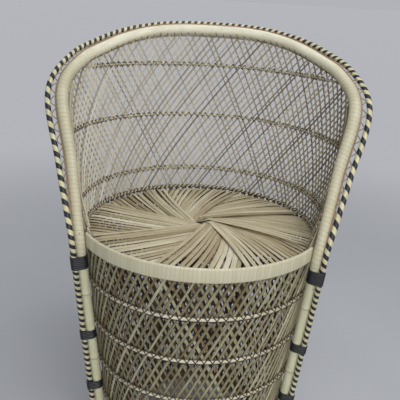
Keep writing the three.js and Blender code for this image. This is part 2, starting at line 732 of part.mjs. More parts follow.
const [upperBindingZ, lowerBindingZ, footBindingZ] = LEG_BINDING_RISES.map((rise) => rise * SEAT_HEIGHT);
const bindings = [
  ["seat", seatBindingZ, SEAT_BINDING_HEIGHT],
  ["upper", upperBindingZ, LEG_BINDING_HEIGHT],
  ["lower", lowerBindingZ, LEG_BINDING_HEIGHT],
  ["foot", footBindingZ, LEG_BINDING_HEIGHT],
];
for (const [place, z, height] of bindings) {
  const share = poleShareAt(z);
  add(`right_${place}_binding`, binding(share, height), DARK_PEEL);
  add(`left_${place}_binding`, binding(1 - share, height), DARK_PEEL);
}

// The origin is on the floor under the middle of the chair's outline
const part = new THREE.Group();
part.add(chair);
const middle = new THREE.Box3().setFromObject(chair, true).getCenter(new THREE.Vector3());
chair.position.set(-middle.x, -middle.y, 0);

export default part;
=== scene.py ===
"""Barrel-back rattan chair: the dressed model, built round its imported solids."""

import bisect
import logging
import math
import random
from dataclasses import dataclass, field
from enum import Enum
from typing import Any, Callable, NamedTuple, Optional, Sequence

import bpy
from mathutils import Matrix, Vector


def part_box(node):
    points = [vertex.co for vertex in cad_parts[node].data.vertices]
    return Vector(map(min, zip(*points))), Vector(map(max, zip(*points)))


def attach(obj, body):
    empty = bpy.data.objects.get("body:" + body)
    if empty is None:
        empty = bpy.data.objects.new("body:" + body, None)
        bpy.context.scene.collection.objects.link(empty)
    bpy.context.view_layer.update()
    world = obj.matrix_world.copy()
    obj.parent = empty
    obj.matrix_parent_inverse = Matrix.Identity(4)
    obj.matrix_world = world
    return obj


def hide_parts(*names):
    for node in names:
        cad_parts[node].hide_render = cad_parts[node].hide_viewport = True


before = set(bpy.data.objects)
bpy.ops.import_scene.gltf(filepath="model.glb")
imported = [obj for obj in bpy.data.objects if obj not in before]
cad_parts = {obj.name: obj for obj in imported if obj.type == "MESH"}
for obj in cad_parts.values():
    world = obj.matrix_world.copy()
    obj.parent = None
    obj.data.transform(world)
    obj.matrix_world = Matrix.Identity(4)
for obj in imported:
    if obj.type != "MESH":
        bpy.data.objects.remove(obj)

LOG = logging.getLogger("rattan_chair")
MM = 0.001
FULL_TURN = 2 * math.pi
UP = Vector((0, 0, 1))
SMOOTH_EDGE = math.radians(50)
GRAIN_SHIFT = 5.0
MIDDLE_TONE = 0.5
MIX_SHARE, MIX_FIRST, MIX_SECOND, MIX_RESULT = 0, 6, 7, 2
Pair = tuple[float, float]
Place = tuple[float, float, float]
Colour = tuple[float, float, float, float]
Stops = tuple[tuple[float, Colour], ...]
Piece = bpy.types.Object
Node = bpy.types.Node
Socket = bpy.types.NodeSocket
Sockets = dict[str, Socket]


class Layer(Enum):
    """The two layers of sticks, with the side of the shell each lies on."""

    OUTER = 1
    INNER = -1


class Axis(Enum):
    """Axes of the frame, by their place in a point."""

    X = 0
    Y = 1
    Z = 2


class Slot(Enum):
    """Material slots of the record."""

    POLE = "rattan_pole"
    WEAVE = "weave_splint"
    HOOP = "hoop_reed"
    SEAT = "seat_splint"
    DARK = "dark_peel"


class Section(Enum):
    """Outlines of split cane, counterclockwise, in halves of its width and thickness, flat side first."""

    CROWNED_STRIP = ((-1.0, -1.0), (1.0, -1.0), (1.0, 0.1), (0.55, 0.85), (0.0, 1.0), (-0.55, 0.85),
                     (-1.0, 0.1))
    SPLIT_REED = ((-1.0, -1.0), (1.0, -1.0), (0.92, 0.0), (0.5, 0.9), (-0.5, 0.9), (-0.92, 0.0))

    def sized(self, width: float, thickness: float) -> list[Pair]:
        """The outline at a width and a thickness."""
        return [(across * width / 2, out * thickness / 2) for across, out in self.value]


def lerp(start: float, end: float, share: float) -> float:
    """Value at a share of the way from start to end."""
    return start + (end - start) * share


def clamp(value: float, low: float = 0.0, high: float = 1.0) -> float:
    """Value, kept between low and high."""
    return min(max(value, low), high)


def smooth(value: float, low: float, high: float) -> float:
    """Smooth rise from 0 at low to 1 at high."""
    share = clamp((value - low) / (high - low))
    return share * share * (3 - 2 * share)


def from_end(share: float) -> float:
    """Share of a length, counted from its nearer end."""
    return min(share, 1 - share)


def linear(red: int, green: int, blue: int) -> Colour:
    """Linear colour of a display colour given in 0 to 255.

    Args:
        red: Red of the display colour.
        green: Green of the display colour.
        blue: Blue of the display colour.

    Returns:
        The linear colour, with full alpha.
    """
    def channel(value: int) -> float:
        """Linear value of one display channel."""
        level = value / 255
        return level / 12.92 if level <= 0.04045 else ((level + 0.055) / 1.055) ** 2.4
    return channel(red), channel(green), channel(blue), 1.0


def circle(radius: float, sides: int) -> list[Pair]:
    """Round section, counterclockwise, that starts on the side away from outward."""
    turns = [FULL_TURN * (j + 0.5) / sides - math.pi / 2 for j in range(sides)]
    return [(radius * math.cos(turn), radius * math.sin(turn)) for turn in turns]


class Frame(NamedTuple):
    """Place and directions of one ring of a swept shape."""

    center: Vector
    across: Vector
    out: Vector


def frames_along(path: Sequence[Vector], outward: Sequence[Vector], closed: bool = False) -> list[Frame]:
    """Frames for a sweep along a path.

    Args:
        path: Centres of the rings.
        outward: Rough outward direction at each ring.
        closed: Whether the path runs back into its start.

    Returns:
        One frame for each point, square to the path.
    """
    frames = []
    last = len(path) - 1
    for i, center in enumerate(path):
        before = path[i - 1] if i > 0 or closed else path[0]
        after = path[(i + 1) % len(path)] if i < last or closed else path[last]
        along = (after - before).normalized()
        out = (outward[i] - along * outward[i].dot(along)).normalized()
        frames.append(Frame(center, out.cross(along), out))
    return frames


def run_lengths(path: Sequence[Vector]) -> list[float]:
    """Distance along a path at each of its points.

    Args:
        path: Points of the path.

    Returns:
        One distance for each point, from 0.
    """
    lengths = [0.0]
    for before, after in zip(path, path[1:]):
        lengths.append(lengths[-1] + (after - before).length)
    return lengths


def own_grain(path: Sequence[Vector], chance: random.Random) -> list[float]:
    """Distances along a path, all moved by one random length, so that each stick has its own grain."""
    shift = chance.uniform(0.0, GRAIN_SHIFT)
    return [run + shift for run in run_lengths(path)]


def catmull_rom(points: Sequence[Vector], per_span: int) -> list[Vector]:
    """Smooth centripetal curve through points.

    Args:
        points: Points that the curve passes.
        per_span: Samples between neighbouring points.

    Returns:
        Points along the curve, from the first point to the last.
    """
    knots = [points[0] * 2 - points[1], *points, points[-1] * 2 - points[-2]]
    curve = []
    for i in range(len(points) - 1):
        a, b, c, d = knots[i:i + 4]
        ab, bc, cd = ((q - p).length ** 0.5 for p, q in ((a, b), (b, c), (c, d)))
        leave = ((b - a) / ab - (c - a) / (ab + bc) + (c - b) / bc) * bc
        arrive = ((c - b) / bc - (d - b) / (bc + cd) + (d - c) / cd) * bc
        for j in range(per_span):
            t = j / per_span
            square, cube = t * t, t * t * t
            curve.append(b * (2 * cube - 3 * square + 1) + leave * (cube - 2 * square + t)
                         + c * (3 * square - 2 * cube) + arrive * (cube - square))
    curve.append(points[-1].copy())
    return curve


@dataclass
class MeshDraft:
    """Points, faces, surface coordinates and tones of a mesh while it is built."""

    points: list[Vector] = field(default_factory=list)
    faces: list[list[int]] = field(default_factory=list)
    places: list[Pair] = field(default_factory=list)
    tones: list[float] = field(default_factory=list)

    def join_rings(self, start: int, size: int, count: int, runs: Sequence[float], closed: bool) -> None:
        """Adds the faces between rings of points that follow each other.

        Args:
            start: First point of the first ring.
            size: Points in a ring.
            count: Number of rings.
            runs: Surface coordinate along the shape at each ring.
            closed: Whether the last ring joins the first; runs then has one more value.
        """
        for i in range(count if closed else count - 1):
            here, there = start + i * size, start + (i + 1) % count * size
            for j in range(size):
                k = (j + 1) % size
                self.faces.append([here + j, here + k, there + k, there + j])
                low, high = j / size, (j + 1) / size
                self.places += [(runs[i], low), (runs[i], high), (runs[i + 1], high), (runs[i + 1], low)]

    def sweep(self, path: Sequence[Vector], outward: Sequence[Vector], profile: Sequence[Pair],
              tones: Sequence[float], scales: Optional[Sequence[float]] = None,
              runs: Optional[Sequence[float]] = None, closed: bool = False) -> None:
        """Adds a section swept along a path.

        Args:
            path: Centres of the rings.
            outward: Rough outward direction at each ring.
            profile: Section, counterclockwise, as distances across and outward.
            tones: Tone of each ring, or a single one for all.
            scales: Size of the section at each ring.
            runs: Surface coordinate along the sweep at each ring, if not the distance along the path.
            closed: Whether the last ring joins the first; runs then has one more value.
        """
        runs = runs or run_lengths(path)
        start, size, count = len(self.points), len(profile), len(path)
        for i, ring in enumerate(frames_along(path, outward, closed)):
            scale = scales[i] if scales else 1.0
            for across, out in profile:
                self.points.append(ring.center + ring.across * (across * scale) + ring.out * (out * scale))
            self.tones.extend([tones[i % len(tones)]] * size)
        self.join_rings(start, size, count, runs, closed)
        if closed:
            return
        end = start + (count - 1) * size
        self.faces.append([start + j for j in reversed(range(size))])
        self.places += [(runs[0], j / size) for j in reversed(range(size))]
        self.faces.append([end + j for j in range(size)])
        self.places += [(runs[-1], j / size) for j in range(size)]

    def rod(self, path: Sequence[Vector], outward: Sequence[Vector], radius: float, sides: int,
            tone: float = MIDDLE_TONE) -> None:
        """Adds a plain round rod along a path."""
        self.sweep(path, outward, circle(radius, sides), [tone])

    def piece(self, name: str) -> Piece:
        """Makes the object, at the origin, with its coordinates and tones.

        Args:
            name: Name of the piece.

        Returns:
            The new object, shaded smooth up to its edges.
        """
        mesh = bpy.data.meshes.new(name)
        mesh.from_pydata([tuple(point) for point in self.points], [], self.faces)
        layer = mesh.uv_layers.new(name="UVMap")
        layer.data.foreach_set("uv", [value for place in self.places for value in place])
        tone = mesh.attributes.new("tone", "FLOAT", "POINT")
        tone.data.foreach_set("value", self.tones)
        mesh.update()
        thing = bpy.data.objects.new(name, mesh)
        bpy.context.scene.collection.objects.link(thing)
        select_only(thing)
        bpy.ops.object.shade_smooth_by_angle(angle=SMOOTH_EDGE)
        return thing


def select_only(thing: Piece) -> None:
    """Deselects everything, then selects one object and makes it active.

    Args:
        thing: The object.
    """
    if bpy.context.object and bpy.context.object.mode != "OBJECT":
        bpy.ops.object.mode_set(mode="OBJECT")
    bpy.ops.object.select_all(action="DESELECT")
    thing.select_set(True)
    bpy.context.view_layer.objects.active = thing


def dress(thing: Piece, finish: "Finish", slot: Slot, *nodes: str) -> None:
    """Gives a piece its finish and its place in the frame.

    Args:
        thing: The piece.
        finish: Finish of its whole surface.
        slot: Material slot of the record; not used.
        nodes: Solids that the piece stands for.
    """
    finish.cover(thing)
    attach(thing, "root")
    if nodes:
        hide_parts(*nodes)
    LOG.info("%s: %d faces", thing.name, len(thing.data.polygons))


class Graph:
    """Short calls to place and join the nodes of one node tree."""

    def __init__(self, tree: bpy.types.NodeTree) -> None:
        """Keeps the tree and empties it."""
        self.tree = tree
        tree.nodes.clear()

    def add(self, kind: str, inputs: Optional[dict[Any, Any]] = None, **settings: Any) -> Node:
        """Places a node.

        Args:
            kind: Node type.
            inputs: Values or sockets for its inputs.
            settings: Other properties of the node.

        Returns:
            The new node.
        """
        node = self.tree.nodes.new(kind)
        for name, value in settings.items():
            setattr(node, name, value)
        for key, value in (inputs or {}).items():
            self.put(node.inputs[key], value)
        return node

    def put(self, socket: Socket, value: Any) -> None:
        """Sets a socket to a value, or joins another socket to it.

        Args:
            socket: Socket to fill.
            value: Plain value, or the socket that feeds it.
        """
        if isinstance(value, Socket):
            self.tree.links.new(value, socket)
        else:
            socket.default_value = value

    def math(self, operation: str, first: Any, second: Any = 0.0) -> Socket:
        """Result of an operation on two values or sockets."""
        node = self.add("ShaderNodeMath", {0: first, 1: second}, operation=operation)
        return node.outputs[0]

    def rise(self, value: Any, low: float, high: float) -> Socket:
        """Smooth rise from 0 at low to 1 at high."""
        node = self.add("ShaderNodeMapRange", {"Value": value, "From Min": low, "From Max": high},
                        interpolation_type="SMOOTHSTEP")
        return node.outputs["Result"]

    def span(self, value: Any, low: float, high: float) -> Socket:
        """Range from low to high that a value of 0 to 1 covers."""
        node = self.add("ShaderNodeMapRange", {"Value": value, "To Min": low, "To Max": high})
        return node.outputs["Result"]

    def mix(self, share: Any, first: Any, second: Any) -> Socket:
        """Mix of two colours."""
        inputs = {MIX_SHARE: share, MIX_FIRST: first, MIX_SECOND: second}
        return self.add("ShaderNodeMix", inputs, data_type="RGBA").outputs[MIX_RESULT]

    def seen(self) -> Socket:
        """Mask of what the camera sees, straight, mirrored or through something clear.

        Returns:
            1 on such rays and 0 on those that only carry light.
        """
        rays = self.add("ShaderNodeLightPath").outputs
        straight = self.math("MAXIMUM", rays["Is Camera Ray"], rays["Is Glossy Ray"])
        return self.math("MAXIMUM", straight, rays["Is Transmission Ray"])

    def ramp(self, value: Any, stops: Stops) -> Socket:
        """Colour along a ramp.

        Args:
            value: Place on the ramp, from 0 to 1.
            stops: Place and colour of each stop.

        Returns:
            The colour there.
        """
        node = self.add("ShaderNodeValToRGB", {0: value})
        elements = node.color_ramp.elements
        while len(elements) < len(stops):
            elements.new(0.5)
        for element, (place, colour) in zip(elements, stops):
            element.position = place
            element.color = colour
        return node.outputs[0]


@dataclass(frozen=True)
class SurfaceEffect:
    """Shader node group of plain values that several finishes share."""

    name: str
    inputs: tuple[str, ...]
    outputs: tuple[str, ...]
    fill: Callable[[Graph, Sockets, Sockets], None]

    def tree(self) -> bpy.types.NodeTree:
        """The group, built the first time it is asked for.

        Returns:
            Its node tree.
        """
        if self.name in bpy.data.node_groups:
            return bpy.data.node_groups[self.name]
        tree = bpy.data.node_groups.new(self.name, "ShaderNodeTree")
        for way, labels in (("INPUT", self.inputs), ("OUTPUT", self.outputs)):
            for label in labels:
                tree.interface.new_socket(label, in_out=way, socket_type="NodeSocketFloat")
        graph = Graph(tree)
        entry, leave = graph.add("NodeGroupInput"), graph.add("NodeGroupOutput")
        take = {label: entry.outputs[label] for label in self.inputs}
        give = {label: leave.inputs[label] for label in self.outputs}
        self.fill(graph, take, give)
        return tree

    def place(self, graph: Graph, *values: Any) -> Node:
        """Places the group in a material, its inputs filled in order."""
        return graph.add("ShaderNodeGroup", dict(zip(self.inputs, values)), node_tree=self.tree())


def fill_fibre(graph: Graph, take: Sockets, give: Sockets) -> None:
    """Fine grain that runs along a stick: streaks, and slow blotches of shade.

    Args:
        graph: Nodes of the group.
        take: Sockets to read.
        give: Sockets to fill.
    """
    streaks_per_metre, blotches_per_metre, seeds_apart = 45.0, 11.0, 37.0
    streak_range, blotch_range = (0.3, 0.7), (0.35, 0.7)
    along = graph.math("MULTIPLY", take["Along"], streaks_per_metre)
    around = graph.math("MULTIPLY", take["Around"], take["Fineness"])
    seed = graph.math("MULTIPLY", take["Seed"], seeds_apart)
    fine = graph.add("ShaderNodeCombineXYZ", {0: along, 1: around, 2: seed})
    settings = {"Vector": fine.outputs[0], "Scale": 1.0, "Detail": 4.0, "Roughness": 0.6}
    noise = graph.add("ShaderNodeTexNoise", settings)
    graph.put(give["Streak"], graph.rise(noise.outputs["Fac"], *streak_range))
    drift = graph.math("MULTIPLY", take["Along"], blotches_per_metre)
    slow = graph.add("ShaderNodeCombineXYZ", {0: drift, 1: seed, 2: 0.0})
    cloud = graph.add("ShaderNodeTexNoise", {"Vector": slow.outputs[0], "Scale": 1.0, "Detail": 2.0})
    graph.put(give["Blotch"], graph.rise(cloud.outputs["Fac"], *blotch_range))


def fill_wrap(graph: Graph, take: Sockets, give: Sockets) -> None:
    """Peel wound in a helix: its seams, the crown of each turn, and a tone for each turn.

    Args:
        graph: Nodes of the group.
        take: Sockets to read.
        give: Sockets to fill.
    """
    seam_range, crown_power = (0.80, 0.98), 4.0
    phase = graph.math("ADD", graph.math("DIVIDE", take["Along"], take["Pitch"]), take["Around"])
    edge = graph.math("ABSOLUTE", graph.math("SUBTRACT", graph.math("FRACT", phase), 0.5))
    edge = graph.math("MULTIPLY", edge, 2.0)
    graph.put(give["Seam"], graph.rise(edge, *seam_range))
    graph.put(give["Crown"], graph.math("SUBTRACT", 1.0, graph.math("POWER", edge, crown_power)))
    turn = graph.add("ShaderNodeTexWhiteNoise", {"W": graph.math("FLOOR", phase)}, noise_dimensions="1D")
    graph.put(give["Turn"], turn.outputs["Value"])


def fill_nicks(graph: Graph, take: Sockets, give: Sockets) -> None:
    """Small scattered dark nicks, from object coordinates.

    Args:
        graph: Nodes of the group.
        take: Sockets to read.
        give: Sockets to fill.
    """
    nicks_per_metre, nick_edge = 95.0, (0.10, 0.22)
    place = graph.add("ShaderNodeCombineXYZ", {0: take["X"], 1: take["Y"], 2: take["Z"]}).outputs[0]
    cells = graph.add("ShaderNodeTexVoronoi", {"Vector": place, "Scale": nicks_per_metre})
    near = graph.math("SUBTRACT", 1.0, graph.rise(cells.outputs["Distance"], *nick_edge))
    pick = graph.add("ShaderNodeSeparateColor", {0: cells.outputs["Color"]}).outputs[0]
    keep = graph.math("LESS_THAN", pick, take["Density"])
    graph.put(give["Nick"], graph.math("MULTIPLY", near, keep))


FIBRE = SurfaceEffect("Reed fibre", ("Along", "Around", "Fineness", "Seed"), ("Streak", "Blotch"),
                      fill_fibre)
PEEL_WRAP = SurfaceEffect("Peel wrap", ("Along", "Around", "Pitch"), ("Seam", "Crown", "Turn"), fill_wrap)
PEEL_NICKS = SurfaceEffect("Peel nicks", ("X", "Y", "Z", "Density"), ("Nick",), fill_nicks)


@dataclass(frozen=True)
class Finish:
    """Base of the finishes: makes its material once, and holds the shared readings of a surface."""

    title: str = "Finish"
    fineness: float = 5.0
    gloss: Pair = (0.5, 0.72)
    relief: float = 0.3
    relief_depth: float = 0.3 * MM

    def material(self) -> bpy.types.Material:
        """The finish's material, made the first time it is asked for.

        Returns:
            The material.
        """
        if self.title in bpy.data.materials:
            return bpy.data.materials[self.title]
        made = bpy.data.materials.new(self.title)
        made.use_nodes = True
        graph = Graph(made.node_tree)
        shader = graph.add("ShaderNodeBsdfPrincipled")
        graph.add("ShaderNodeOutputMaterial", {"Surface": shader.outputs[0]})
        self.paint(graph, shader)
        return made

    def cover(self, thing: Piece) -> None:
        """Gives an object this finish and no other."""
        thing.data.materials.clear()
        thing.data.materials.append(self.material())

    def paint(self, graph: Graph, shader: Node) -> None:
        """Fills the shader's sockets; each finish has its own."""
        raise NotImplementedError

    @staticmethod
    def surface(graph: Graph) -> tuple[Socket, Socket]:
        """Places along and around the piece, from its UV map.

        Args:
            graph: Nodes of the material.

        Returns:
            Sockets of the place along and the place around.
        """
        uv = graph.add("ShaderNodeUVMap", uv_map="UVMap")
        parts = graph.add("ShaderNodeSeparateXYZ", {0: uv.outputs[0]})
        return parts.outputs[0], parts.outputs[1]

    @staticmethod
    def tone(graph: Graph) -> Socket:
        """Tone of the stick, from the piece's own attribute."""
        return graph.add("ShaderNodeAttribute", attribute_name="tone").outputs["Fac"]

    def fibre(self, graph: Graph, along: Any, around: Any, seed: Any = 0.0) -> Sequence[Socket]:
        """Streaks and blotches of the shared fibre, at this finish's fineness."""
        outputs = FIBRE.place(graph, along, around, self.fineness, seed).outputs
        return outputs["Streak"], outputs["Blotch"]

    @staticmethod
    def nicks(graph: Graph, density: float) -> Socket:
        """Mask of the shared dark nicks.

        Args:
            graph: Nodes of the material.
            density: Share of the possible nicks that are there.

        Returns:
            1 in a nick and 0 outside it.
        """
        spot = graph.add("ShaderNodeTexCoord").outputs["Object"]
        x, y, z = graph.add("ShaderNodeSeparateXYZ", {0: spot}).outputs
        return PEEL_NICKS.place(graph, x, y, z, density).outputs["Nick"]

    def coat(self, graph: Graph, shader: Node, body: Any, streak: Any, height: Any) -> None:
        """Joins colour, gloss and relief to the shader.

        Args:
            graph: Nodes of the material.
            shader: Its shader.
            body: Colour.
            streak: Grain, which the gloss follows.
            height: Relief.
        """
        graph.put(shader.inputs["Base Color"], body)
        graph.put(shader.inputs["Roughness"], graph.span(streak, *self.gloss))
        settings = {"Height": height, "Strength": self.relief, "Distance": self.relief_depth}
        graph.put(shader.inputs["Normal"], graph.add("ShaderNodeBump", settings).outputs[0])


@dataclass(frozen=True)
class WrappedPeel(Finish):
    """Cream rattan peel wound round a pole or a band."""

    title: str = "Cream peel wrapping"
    fineness: float = 7.0
    gloss: Pair = (0.42, 0.62)
    relief: float = 0.45
    relief_depth: float = 0.6 * MM
    pitch: float = 7.4 * MM
    seam_depth: float = 0.55
    turn_depth: float = 0.5
    nick_share: float = 0.14
    nick_depth: float = 0.7
    aged_share: float = 0.55
    streak_share: float = 0.55
    blotch_share: float = 0.16
    fibre_height: float = 0.12
    pale: Colour = linear(233, 230, 209)
    deep: Colour = linear(209, 203, 171)
    aged: Colour = linear(170, 163, 130)
    seam: Colour = linear(150, 136, 102)
    nick: Colour = linear(84, 68, 46)

    def paint(self, graph: Graph, shader: Node) -> None:
        """Cream turns whose seams show as far as the tone says, faint streaks and a few dark nicks.

        Args:
            graph: Nodes of the material.
            shader: Its shader.
        """
        along, around = self.surface(graph)
        tone = self.tone(graph)
        streak, blotch = self.fibre(graph, along, around)
        wrap = PEEL_WRAP.place(graph, along, around, self.pitch).outputs
        body = graph.mix(graph.span(streak, 0.0, self.streak_share), self.pale, self.deep)
        turn = graph.math("MULTIPLY", graph.span(wrap["Turn"], 0.0, self.turn_depth), tone)
        body = graph.mix(turn, body, self.deep)
        body = graph.mix(graph.math("MULTIPLY", tone, self.aged_share), body, self.aged)
        body = graph.mix(graph.span(blotch, 0.0, self.blotch_share), body, self.seam)
        seam = graph.math("MULTIPLY", graph.span(wrap["Seam"], 0.0, self.seam_depth), tone)
        body = graph.mix(seam, body, self.seam)
        nick = graph.math("MULTIPLY", self.nicks(graph, self.nick_share), tone)
        body = graph.mix(graph.math("MULTIPLY", nick, self.nick_depth), body, self.nick)
        crown = graph.math("MULTIPLY", wrap["Crown"], tone)
        height = graph.math("ADD", crown, graph.math("MULTIPLY", streak, self.fibre_height))
        self.coat(graph, shader, body, streak, height)


@dataclass(frozen=True)
class BarePole(Finish):
    """Peeled rattan pole: smooth, cream to straw, with a brown line at each joint."""

    title: str = "Bare rattan pole"
    fineness: float = 9.0
    gloss: Pair = (0.38, 0.58)
    relief: float = 0.25
    relief_depth: float = 0.4 * MM
    streak_share: float = 0.6
    blotch_share: float = 0.4
    joint_share: float = 0.6
    nick_share: float = 0.08
    nick_depth: float = 0.6
    pale: Colour = linear(216, 215, 183)
    deep: Colour = linear(194, 190, 152)
    joint: Colour = linear(122, 102, 68)

    def paint(self, graph: Graph, shader: Node) -> None:
        """Streaked cane whose joints are darker, as the tone marks them.

        Args:
            graph: Nodes of the material.
            shader: Its shader.
        """
        streak, blotch = self.fibre(graph, *self.surface(graph))
        body = graph.mix(graph.span(streak, 0.0, self.streak_share), self.pale, self.deep)
        body = graph.mix(graph.span(blotch, 0.0, self.blotch_share), body, self.deep)
        body = graph.mix(graph.math("MULTIPLY", self.tone(graph), self.joint_share), body, self.joint)
        nick = graph.span(self.nicks(graph, self.nick_share), 0.0, self.nick_depth)
        self.coat(graph, shader, graph.mix(nick, body, self.joint), streak, streak)


@dataclass(frozen=True)
class DustyPole(BarePole):
    """Old unscraped pole inside the drum, brown and dusty."""

    title: str = "Dusty inner pole"
    pale: Colour = linear(112, 98, 74)
    deep: Colour = linear(84, 71, 52)
    joint: Colour = linear(62, 50, 36)


@dataclass(frozen=True)
class StickReed(Finish):
    """Split reed of the weave: each stick with its own tone, from brown through tan to straw."""

    title: str = "Split reed"
    stops: Stops = (
        (0.0, linear(82, 66, 48)), (0.14, linear(108, 90, 66)), (0.5, linear(150, 139, 113)),
        (0.78, linear(182, 173, 148)), (1.0, linear(208, 201, 178)))
    streak_shift: float = 0.10
    grime: Colour = linear(100, 86, 66)
    grime_share: float = 0.35
    # painted shade: the band of the stick's round, in shares of its outline, darkened towards the shade
    # colour by the share below
    shaded: Pair = (0.0, 0.0)
    shade: Colour = linear(58, 49, 39)
    shade_share: float = 0.8

    def paint(self, graph: Graph, shader: Node) -> None:
        """Tone of the stick, broken by streaks and patches of grime; part of its round may be darkened with
        painted shade.

        Args:
            graph: Nodes of the material.
            shader: Its shader.
        """
        along, around = self.surface(graph)
        tone = self.tone(graph)
        streak, blotch = self.fibre(graph, along, around, tone)
        shift = graph.span(streak, -self.streak_shift, self.streak_shift)
        body = graph.ramp(graph.math("ADD", tone, shift), self.stops)
        body = graph.mix(graph.span(blotch, 0.0, self.grime_share), body, self.grime)
        # painted shade over the chosen band of the round
        low, high = self.shaded
        if high > low:
            inside = graph.math("MULTIPLY", graph.math("GREATER_THAN", around, low),
                                graph.math("LESS_THAN", around, high))
            body = graph.mix(graph.math("MULTIPLY", inside, self.shade_share), body, self.shade)
        self.coat(graph, shader, body, streak, streak)


@dataclass(frozen=True)
class DrumReed(StickReed):
    """Split reed of the drum, orange-brown at its darkest, its side towards the inside darkened with
    painted shade.
    """

    title: str = "Outer drum reed"
    stops: Stops = (
        (0.0, linear(108, 84, 54)), (0.14, linear(138, 108, 68)), (0.26, linear(112, 101, 73)),
        (0.5, linear(146, 138, 107)), (0.78, linear(182, 176, 144)), (1.0, linear(208, 205, 174)))
    shaded: Pair = (0.0, 1 / 6)


@dataclass(frozen=True)
class InnerDrumReed(DrumReed):
    """The same reed on the inner layer, its round side towards the inside darkened with painted shade."""

    title: str = "Inner drum reed"
    shaded: Pair = (1 / 6, 1.0)


@dataclass(frozen=True)
class SeatSplint(StickReed):
    """Flat straw-coloured splint of the seat."""

    title: str = "Flat fan splint"
    stops: Stops = (
        (0.0, linear(112, 96, 66)), (0.3, linear(156, 141, 108)), (0.6, linear(188, 176, 144)),
        (0.85, linear(208, 199, 170)), (1.0, linear(224, 217, 192)))
    grime: Colour = linear(136, 118, 86)


@dataclass(frozen=True)
class HoopReed(StickReed):
    """Pale round reed of the hoops."""

    title: str = "Pale hoop reed"
    stops: Stops = (
        (0.0, linear(118, 100, 70)), (0.4, linear(184, 173, 142)), (1.0, linear(222, 215, 190)))
    grime: Colour = linear(148, 132, 100)


@dataclass(frozen=True)
class LinerCane(StickReed):
    """Reddish-brown cane laid along the outside of the pole."""

    title: str = "Red-brown liner cane"
    stops: Stops = (
        (0.0, linear(104, 74, 54)), (0.5, linear(156, 122, 96)), (1.0, linear(196, 166, 138)))
    grime: Colour = linear(96, 68, 50)


@dataclass(frozen=True)
class LacingCane(StickReed):
    """Thin grey-green cane of the wavy lacing."""

    title: str = "Grey-green lacing cane"
    stops: Stops = (
        (0.0, linear(84, 82, 62)), (0.5, linear(132, 130, 102)), (1.0, linear(170, 166, 132)))
    grime: Colour = linear(84, 78, 60)


@dataclass(frozen=True)
class DarkTwine(Finish):
    """Dark split cane that ties the sticks."""

    title: str = "Dark tying cane"
    fineness: float = 4.0
    gloss: Pair = (0.45, 0.65)
    relief: float = 0.2
    relief_depth: float = 0.2 * MM
    streak_share: float = 0.45
    bare_from: float = 0.5
    dark: Colour = linear(36, 30, 28)
    worn: Colour = linear(84, 70, 56)
    bare: Colour = linear(170, 156, 124)

    def paint(self, graph: Graph, shader: Node) -> None:
        """Near black with worn brown streaks; strands of a high tone are left pale.

        Args:
            graph: Nodes of the material.
            shader: Its shader.
        """
        along, around = self.surface(graph)
        tone = self.tone(graph)
        streak, _ = self.fibre(graph, along, around, tone)
        body = graph.mix(graph.span(streak, 0.0, self.streak_share), self.dark, self.worn)
        body = graph.mix(graph.rise(tone, self.bare_from, 1.0), body, self.bare)
        self.coat(graph, shader, body, streak, streak)


@dataclass(frozen=True)
class EdgingTwine(DarkTwine):
    """Browner cane of the twisted edging."""

    title: str = "Brown edging cane"
    dark: Colour = linear(62, 54, 44)
    worn: Colour = linear(104, 91, 72)


@dataclass(frozen=True)
class BlackPeel(Finish):
    """Black dyed peel of the bindings, turn beside turn."""

    title: str = "Black peel binding"
    fineness: float = 300.0
    gloss: Pair = (0.36, 0.55)
    relief: float = 0.2
    relief_depth: float = 0.2 * MM
    streak_share: float = 0.5
    dark: Colour = linear(15, 16, 20)
    worn: Colour = linear(40, 41, 46)

    def paint(self, graph: Graph, shader: Node) -> None:
        """Blue-black with paler streaks of wear round each turn.

        Args:
            graph: Nodes of the material.
            shader: Its shader.
        """
        along, around = self.surface(graph)
        streak, _ = self.fibre(graph, around, along)
        body = graph.mix(graph.span(streak, 0.0, self.streak_share), self.dark, self.worn)
        self.coat(graph, shader, body, streak, streak)


@dataclass(frozen=True)
class StripedPeel(Finish):
    """Black and cream peels wound side by side round the edging rod."""

    title: str = "Black and cream striped peel"
    fineness: float = 6.0
    gloss: Pair = (0.38, 0.55)
    relief: float = 0.5
    relief_depth: float = 0.5 * MM
    turn_run: float = 20 * MM
    streak_share: float = 0.5
    seam: float = 0.25
    seam_blur: float = 0.015
    groove_width: float = 0.06
    dark: Colour = linear(22, 26, 36)
    pale: Colour = linear(216, 209, 170)
    worn: Colour = linear(150, 138, 98)

    def paint(self, graph: Graph, shader: Node) -> None:
        """Two stripes in each turn, as the coordinate along the rod counts turns.

        Args:
            graph: Nodes of the material.
            shader: Its shader.
        """
        turns, around = self.surface(graph)
        phase = graph.math("FRACT", graph.math("ADD", turns, around))
        band = graph.math("ABSOLUTE", graph.math("SUBTRACT", phase, 0.5))
        black = graph.rise(band, self.seam - self.seam_blur, self.seam + self.seam_blur)
        streak, _ = self.fibre(graph, graph.math("MULTIPLY", turns, self.turn_run), around)
        cream = graph.mix(graph.span(streak, 0.0, self.streak_share), self.pale, self.worn)
        body = graph.mix(black, cream, self.dark)
        groove = graph.math("ABSOLUTE", graph.math("SUBTRACT", band, self.seam))
        self.coat(graph, shader, body, streak, graph.rise(groove, 0.0, self.groove_width))


